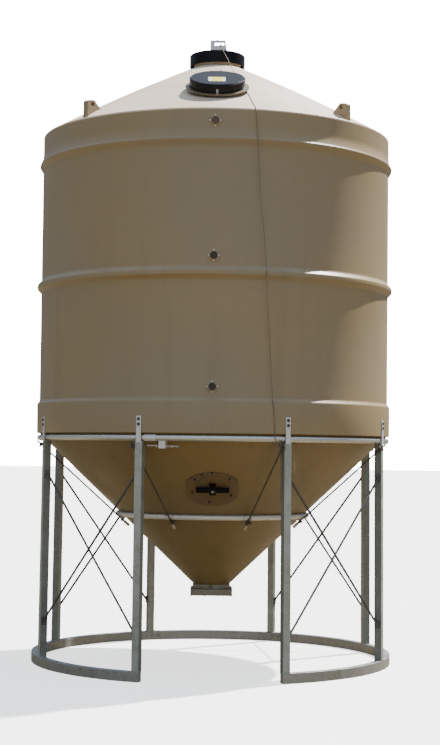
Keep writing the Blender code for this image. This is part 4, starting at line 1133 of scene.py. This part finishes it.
def threadMesh(start, end, radius):
    # a fine ridge wound along a rod
    pitch, tooth, sides = thread["pitch"], thread["tooth"], thread["sides"]
    matrix = facing(start, end - start)
    foot = radius - thread["sunk"]
    rows = []
    for index in range(int((end - start).length / pitch * sides) + 1):
        angle = 2 * math.pi * index / sides
        z = pitch * index / sides
        way = Vector((math.cos(angle), math.sin(angle), 0.0))
        corners = ((foot, -tooth), (radius + tooth, 0.0), (foot, tooth))
        rows.append([matrix @ (way * r + Vector((0, 0, z + dz))) for r, dz in corners])
    return skinMesh(rows, "thread")


def rodMesh(start, end, radius, sides=16):
    bm = bmesh.new()
    depth = (end - start).length
    bmesh.ops.create_cone(bm, cap_ends=True, segments=sides, radius1=radius, radius2=radius, depth=depth)
    bmesh.ops.transform(bm, matrix=facing((start + end) / 2, end - start), verts=bm.verts)
    return closeMesh(bm, "rod")


def hexNut(centre, axis, radius, height, ease=0.0012):
    return plateMesh(circleOf(6, radius), -0.5 * height, 0.5 * height, facing(centre, axis), ease)


ringJoint = {
    "start": (-0.510, -1.336, 1.8076), "end": (-0.2603, -1.4061, 1.801), "rod": 0.006,
    "nuts": ((0.300, 0.0150), (0.560, 0.0115), (0.760, 0.0125)), "nutLength": 0.014,
    "sleeve": (-21.1, -17.3), "sleeveWall": 0.0022, "sleeveEnd": 0.0002, "steps": 12, "sides": 24,
}


def makeRingJoint():
    start, end = Vector(ringJoint["start"]), Vector(ringJoint["end"])
    parts = [threadMesh(start, end, ringJoint["rod"])]
    for share, radius in ringJoint["nuts"]:
        parts.append(hexNut(start.lerp(end, share), end - start, radius, ringJoint["nutLength"]))
    addSteel("ring_joint_nuts", parts, screwBright)
    reach, height, tube = rings["top"]
    reach *= tank["round"]
    low, high = ringJoint["sleeve"]
    steps = ringJoint["steps"]
    rows = []
    for step in range(steps + 1):
        azimuth = low + (high - low) * step / steps
        radius = tube + (ringJoint["sleeveWall"] if 0 < step < steps else ringJoint["sleeveEnd"])
        circle = circleOf(ringJoint["sides"], radius)
        rows.append([ringPoint(azimuth, reach + x, height + z) for x, z in circle])
    addSteel("ring_sleeve", [skinMesh(rows, "sleeve")], strapZinc, 60.0)


clamp = {
    "rod": 0.0036, "offsets": (-0.021, 0.039), "clear": 0.0004, "from": 48.0, "to": 312.0, "steps": 20,
    "sides": 8,
}


def clampMesh(azimuth, offset):
    # a bent rod round the lower ring, open where the hopper is
    reach, height, tube = rings["lower"]
    turn = azimuth - tie["step"] - math.degrees(offset / reach)
    centre = ringPoint(turn, reach * tank["round"], height)
    towards = ringPoint(turn, -math.sin(hopperTilt), math.cos(hopperTilt))
    square = tangent(turn).cross(towards)
    radius = tube + clamp["clear"] + clamp["rod"]
    circle = circleOf(clamp["sides"], clamp["rod"])
    rows = []
    for step in range(clamp["steps"] + 1):
        angle = math.radians(clamp["from"] + (clamp["to"] - clamp["from"]) * step / clamp["steps"])
        out = towards * math.cos(angle) + square * math.sin(angle)
        rows.append([centre + out * (radius + x) + tangent(turn) * z for x, z in circle])
    return skinMesh(rows, "clamp")


def makeClamps():
    clamps, threads, sleeves = [], [], []
    first, last, radius = tie["sleeve"]
    for azimuth in legAzimuths:
        clamps.extend(clampMesh(azimuth, offset) for offset in clamp["offsets"])
        for far, near in tie["threads"]:
            threads.append(threadMesh(tiePoint(far, azimuth), tiePoint(near, azimuth), tie["radius"]))
        sleeves.append(rodMesh(tiePoint(first, azimuth), tiePoint(last, azimuth), radius))
    addSteel("hopper_ring_clamps", clamps, brightZinc, 60.0)
    addSteel("tie_rod_threads", threads, rodSteelRustAndShade)
    addSteel("tie_rod_sleeves", sleeves, sleeveTan)


splices = {
    "azimuths": (-159.2, 155.6), "length": 0.110, "wall": 0.0016, "foot": 0.0006, "boltHeight": 0.042,
    "boltAlong": 0.030, "ease": 0.003,
}


def makeSplices():
    inner, outer, high = stand["base"]
    wall, foot, half = splices["wall"], splices["foot"], 0.5 * splices["length"]
    outline = boxOutline(inner - wall, outer * tank["round"] + wall, -half, half)
    parts, places = [], []
    for azimuth in splices["azimuths"]:
        matrix = placeFrame((0, 0, foot), outward(azimuth), tangent(azimuth))
        parts.append(plateMesh(outline, 0.0, high + wall - foot, matrix, splices["ease"]))
        for side in (-1, 1):
            face = ringPoint(azimuth, inner - wall, splices["boltHeight"], side * splices["boltAlong"])
            places.append((face, -outward(azimuth)))
    addSteel("base_ring_sleeves", parts, baseZinc)
    makeBolts("base_ring_bolts", places, "plate", boltZinc)


caps = {"proud": 0.0022, "back": 0.006, "at": 1.843, "heights": (1.8388, 1.8428), "ease": 0.0010}


def makeLegCaps():
    half = 0.5 * stand["leg"] + caps["proud"]
    outline = boxOutline(-half, half - caps["back"], -half, half)
    low, high = caps["heights"]
    parts = []
    for azimuth in legAzimuths:
        matrix = placeFrame(ringPoint(azimuth, legReach(caps["at"])), outward(azimuth), tangent(azimuth))
        parts.append(plateMesh(outline, low, high, matrix, caps["ease"]))
    addSteel("leg_cap_plates", parts, legZinc)


makeRingJoint()
makeClamps()
makeSplices()
makeLegCaps()
print("stand fittings made")


# Clean-out hatch
cleanOut = {
    "reach": 1.023, "up": 0.024, "bolts": (38.0, 92.0, 120.0, 147.0, 199.0, 262.0, 329.0), "circle": 0.170,
    "face": 0.007, "door": 0.032, "hub": (0.052, 0.106, 0.0185, 0.0520), "hubEase": (0.012, 0.0015),
    "handleBolt": ((0.0605, 0.0665, 0.0105, 6), (0.0600, 0.0615, 0.0135, 20)),      # its head and its washer
}


def cleanOutFrame():
    # x across, y up the slope and z out of the cone
    radius, height = hopper["low"]
    reach = cleanOut["reach"]
    centre = Vector((0.0, -reach * flats, height + (reach - radius) / hopper["spread"]))
    return placeFrame(centre, (1, 0, 0), (0.0, -math.cos(hopperTilt), math.sin(hopperTilt)))


def makeCleanOut():
    matrix = cleanOutFrame()
    out = Vector((0.0, -math.sin(hopperTilt), -math.cos(hopperTilt)))
    places = []
    for angle in cleanOut["bolts"]:
        across = cleanOut["circle"] * math.cos(math.radians(angle))
        up = cleanOut["up"] + cleanOut["circle"] * math.sin(math.radians(angle))
        places.append((matrix @ Vector((across, up, 0.0)) + out * cleanOut["face"], out))
    makeBolts("clean_out_bolts", places, "cleanOut", boltPaintedShade)
    width, tall, low, high = cleanOut["hub"]
    corner, ease = cleanOut["hubEase"]
    hub = plateMesh(roundedBox(0.0, cleanOut["door"], width, tall, corner), low, high, matrix, ease)
    linkPiece("handle_hub", hub, blackPlastic, "clean_out_handle_body")
    centre = matrix @ Vector((0.0, cleanOut["door"], 0.0))
    ends = []
    for first, last, radius, sides in cleanOut["handleBolt"]:
        ends.append(rodMesh(centre + out * first, centre + out * last, radius, sides))
    addSteel("handle_bolt", ends, legZinc, body="clean_out_handle_body")


makeCleanOut()
print("clean-out finished")


# Sight port plugs and screws
ports = {
    "heights": (2.262, 3.272, 4.318), "x": -0.013, "proud": 0.0005, "flange": 0.008, "screws": 0.041,
    "collar": ((0.0, 0.0, 0), (0.052, 0.0, 0), (0.052, 0.0006, 0), (0.044, 0.0030, 0.004),
               (0.034, 0.0080, 0.003), (0.0, 0.0080, 0)),
    "cup": ((0.0, 0.0082, 0), (0.0285, 0.0082, 0), (0.0285, 0.0186, 0.002), (0.018, 0.0186, 0.002),
            (0.017, 0.0172, 0.001), (0.0, 0.0172, 0)),
    "key": (0.0105, 0.0171, 0.0205, 0.0010),    # its radius, its two faces and its easing
    "sides": (64, 40),
}


def makePorts():
    screws = []
    for index, height in enumerate(ports["heights"], 1):
        front = -tank["radius"] * flats - ports["proud"]
        centre = Vector((ports["x"], front, height))
        matrix = placeFrame(centre, (1, 0, 0), (0, 0, 1))
        collarSides, cupSides = ports["sides"]
        collar = spinOutline(softenOutline(ports["collar"]), collarSides, "port")
        collar.transform(matrix)
        name = "sight_port_moulding_" + str(index)
        linkPiece(name, collar, tankPoly, "silo", 60.0, "sight_port_" + str(index))
        cup = spinOutline(softenOutline(ports["cup"]), cupSides, "plug")
        cup.transform(matrix)
        size, low, high, ease = ports["key"]
        plug = mergeMeshes([cup, plateMesh(circleOf(6, size), low, high, matrix, ease)], "plug")
        for x, z in ((0, 1), (1, 0), (0, -1), (-1, 0)):
            place = centre + Vector((x * ports["screws"], -0.5 * ports["flange"], z * ports["screws"]))
            screws.append((place, Vector((0, -1, 0))))
        finish = plugTan if index == 3 else plugBrown
        linkPiece("sight_plug_" + str(index), plug, finish, "silo", 40.0)
    makeBolts("sight_port_screws", screws, "pan", screwBright)


makePorts()
print("sight ports finished")


# Blank label on the roof hatch's lid
label = {
    "centre": (-0.004, -0.050), "height": 0.0980, "corner": 0.006,
    "edge": (0.138, 0.130, 0.0001, 0.0006),     # width, depth, and its two faces above the cap
    "middle": (0.098, 0.124, 0.0006, 0.0009),
}


def makeLabel():
    for key, material in (("edge", labelWhite), ("middle", labelYellow)):
        width, depth, low, high = label[key]
        outline = roundedBox(*label["centre"], width, depth, label["corner"])
        mesh = plateMesh(outline, label["height"] + low, label["height"] + high, hatchFrame())
        linkPiece("hatch_label_" + key, mesh, material, "roof_hatch_body")


makeLabel()
print("label laid")


# Outlet: clamp band with a gap at the front, and the gate's bolts
band = {
    "radius": (0.1556, 0.1592), "height": (0.6085, 0.6420), "gapAt": -1.0, "gap": 3.4, "steps": 64,
    "lip": 0.001, "ear": 0.016, "earHalf": 0.0012, "earEase": 0.0005, "bolt": (0.009, 0.022, 0.003, 10),
    "nuts": (-0.0155, 0.0155), "nut": 0.006,
}
gate = {"reach": 0.168, "along": (-0.168, -0.056, 0.056, 0.168), "faces": ((0.6048, 1), (0.5522, -1))}


def makeOutlet():
    inner, outer = band["radius"]
    low, high = band["height"]
    first, last = band["gapAt"] + band["gap"], band["gapAt"] - band["gap"] + 360.0
    lip, thin = band["lip"], band["earHalf"]
    corners = ((inner, low), (outer, low + lip), (outer, high - lip), (inner, high))
    rows = []
    for step in range(band["steps"] + 1):
        azimuth = first + (last - first) * step / band["steps"]
        rows.append([ringPoint(azimuth, reach, height) for reach, height in corners])
    parts = [skinMesh(rows, "band")]
    outline = boxOutline(outer - lip, outer + band["ear"], low, high)
    for azimuth in (first, last):
        matrix = placeFrame((0, 0, 0), outward(azimuth), (0, 0, 1))
        parts.append(plateMesh(outline, -thin, thin, matrix, band["earEase"]))
    out, half, radius, sides = band["bolt"]
    middle = ringPoint(band["gapAt"], outer + out, 0.5 * (low + high))
    side = tangent(band["gapAt"])
    parts.append(rodMesh(middle - side * half, middle + side * half, radius, sides))
    for end in band["nuts"]:
        parts.append(hexNut(middle + side * end, side, band["nut"], band["nut"]))
    linkPiece("outlet_clamp_band", mergeMeshes(parts, "band"), gatePlate, "silo", 35.0)
    reach, along = gate["reach"], gate["along"]
    spots = [(x, -reach) for x in along] + [(side, y) for side in (-reach, reach) for y in along[1:]]
    places = [(Vector((x, y, z)), Vector((0, 0, way))) for x, y in spots for z, way in gate["faces"]]
    makeBolts("gate_bolts", places, "small", boltZinc)


makeOutlet()
print("outlet finished")


# Moulded fillets along the feet of the lifting lugs
lugs = {
    "azimuths": (-135.0, -45.0, 45.0, 135.0), "shift": 0.033, "half": 0.0275, "from": 1.320, "to": 1.452,
    "leg": 0.012, "sunk": 0.0008, "steps": 12,
    "taper": (0.25, 4.0),       # its size at the ends, and how fast it grows
    "section": ((0, 0), (1, 0), (0.35, 0.22), (0.1, 0.55), (0, 1)),
    "bite": (-0.002, -0.001),   # where the section is 0 it runs into the lug and the roof by this
}


def filletMesh(turn, side):
    steps = lugs["steps"]
    least, growth = lugs["taper"]
    bite, sink = lugs["bite"]
    rows = []
    for index in range(steps + 1):
        reach = lugs["from"] + (lugs["to"] - lugs["from"]) * index / steps
        size = lugs["leg"] * min(1.0, least + growth * min(index, steps - index) / steps)
        high = roofHeight(reach / tank["round"]) - lugs["sunk"]
        corners = [(x * size if x else bite, z * size if z else sink) for x, z in lugs["section"]]
        rows.append([turn @ Vector((side * (lugs["half"] + x), -reach, high + z)) for x, z in corners])
    return skinMesh(rows, "fillet")


def makeLugFillets():
    parts = []
    for azimuth in lugs["azimuths"]:
        turn = aroundAxis(azimuth) @ Matrix.Translation((math.copysign(lugs["shift"], azimuth), 0.0, 0.0))
        parts.extend(filletMesh(turn, side) for side in (-1, 1))
    linkPiece("lug_fillets", mergeMeshes(parts, "fillets"), roofPolyPaintedLight, "silo", 70.0)


makeLugFillets()
print("lug fillets made")


# Fill lid: moulded rings on top and the bracket's bolts
lid = {
    "top": 5.190, "rings": ((0.120, 0.004), (0.180, 0.004)), "sunk": 0.001, "raised": 0.0016,
    "narrow": 0.6, "ease": 0.001, "sides": 96, "foot": 0.0052,
    "feet": ((-0.074, -0.018), (-0.074, 0.018), (0.099, -0.018), (0.099, 0.018)),
}


def makeLidTrim():
    low, high, ease = lid["top"] - lid["sunk"], lid["top"] + lid["raised"], lid["ease"]
    parts = []
    for reach, half in lid["rings"]:
        crest = lid["narrow"] * half
        outline = [(reach - half, low, 0), (reach + half, low, 0), (reach + crest, high, ease),
                   (reach - crest, high, ease)]
        parts.append(spinOutline(softenOutline(outline), lid["sides"], "lid ring"))
    mesh = mergeMeshes(parts, "lid rings")
    linkPiece("lid_rings", mesh, blackPlastic, "fill_lid_body", 60.0)
    places = [(Vector((x, y, lid["top"] + lid["foot"])), Vector((0, 0, 1))) for x, y in lid["feet"]]
    makeBolts("bracket_bolts", places, "small", boltZinc, "fill_lid_body")


makeLidTrim()
print("fill lid finished")


# Floor, sky and lights
studio = {
    "floor": (0.84, 0.83, 0.81),
    "floorPatch": 1.03,                     # its lighter patches, against the rest
    "floorRough": 0.9,
    "floorHalf": 160.0,
    "floorGlow": (0.105, 0.088, 0.060),     # what the floor gives back to the silo
    "evenGlow": (0.170, 0.142, 0.086),      # and what comes up from it everywhere, shadow or not
    "floorLift": 1.6,                       # seen by the camera only, as the sky's own strength is
    "sky": (0.66, 0.80, 1.0),
    "skyLow": 0.16,
    "skyHigh": 1.02,
    "skyTop": 0.8,                          # where the high sky starts
    "skyFront": 0.95,                       # what the low sky has more of in front of the silo
    "seenSky": 16.0,
    "sunColour": (1.0, 0.985, 0.965),
    "sunStrength": 13.0,
    "sunFrom": (0.432, 0.356, 0.829),
    "sunAngle": 1.2,
}


def seenOrGiven(tree, given, seen, out):
    # the camera sees one shader, and everything else is lit by the other
    ray = addNode(tree, "ShaderNodeLightPath").outputs["Is Camera Ray"]
    both = addNode(tree, "ShaderNodeMixShader", {0: ray, 1: given.outputs[0], 2: seen.outputs[0]})
    tree.links.new(both.outputs[0], tree.nodes[out].inputs["Surface"])


def makeFloor():
    material, tree, shader, where = newMaterial("pale floor")
    tone = useGroup(tree, cloud, Vector=where, Scale=0.6, Low=0.3, High=0.7)
    lighter = tuple(value * studio["floorPatch"] for value in studio["floor"])
    tree.links.new(mixColour(tree, tone, studio["floor"], lighter), shader.inputs["Base Color"])
    shader.inputs["Roughness"].default_value = studio["floorRough"]
    shader.inputs["Emission Color"].default_value = (1.0, 1.0, 1.0, 1.0)
    shader.inputs["Emission Strength"].default_value = studio["floorLift"]
    glow = addNode(tree, "ShaderNodeBsdfDiffuse", {"Color": (*studio["floorGlow"], 1.0)})
    even = addNode(tree, "ShaderNodeEmission", {"Color": (*studio["evenGlow"], 1.0), "Strength": 1.0})
    given = addNode(tree, "ShaderNodeAddShader", {0: glow.outputs[0], 1: even.outputs[0]})
    seenOrGiven(tree, given, shader, "Material Output")
    mesh = bpy.data.meshes.new("floor")
    half = studio["floorHalf"]
    mesh.from_pydata([(x, y, 0) for x, y in boxOutline(-half, half, -half, half)], [], [(0, 1, 2, 3)])
    mesh.materials.append(material)
    linkObject("floor", mesh)


def makeSky():
    sky = bpy.data.worlds.new("pale sky")
    sky.use_nodes = True
    tree = sky.node_tree
    way = addNode(tree, "ShaderNodeTexCoord").outputs["Generated"]
    parts = addNode(tree, "ShaderNodeSeparateXYZ", {0: way}).outputs
    ahead = maths(tree, "MINIMUM", parts["Y"], 0.0)
    square = maths(tree, "MULTIPLY", ahead, ahead)
    horizon = maths(tree, "MULTIPLY_ADD", square, studio["skyFront"], studio["skyLow"])
    values = {"Value": parts["Z"], "From Min": 0.0, "From Max": studio["skyTop"]}
    values.update({"To Min": horizon, "To Max": studio["skyHigh"]})
    strength = addNode(tree, "ShaderNodeMapRange", values)
    light = tree.nodes["Background"]
    light.inputs["Color"].default_value = (*studio["sky"], 1.0)
    tree.links.new(strength.outputs[0], light.inputs["Strength"])
    values = {"Color": (1.0, 1.0, 1.0, 1.0), "Strength": studio["seenSky"]}
    seenOrGiven(tree, light, addNode(tree, "ShaderNodeBackground", values), "World Output")
    bpy.context.scene.world = sky


def makeSun():
    sun = bpy.data.lights.new("high light", "SUN")
    sun.energy = studio["sunStrength"]
    sun.angle = math.radians(studio["sunAngle"])
    sun.color = studio["sunColour"]
    lamp = linkObject("high light", sun)
    lamp.rotation_euler = Vector(studio["sunFrom"]).to_track_quat("Z", "Y").to_euler()


makeFloor()
makeSky()
makeSun()
print("stage and lights set")
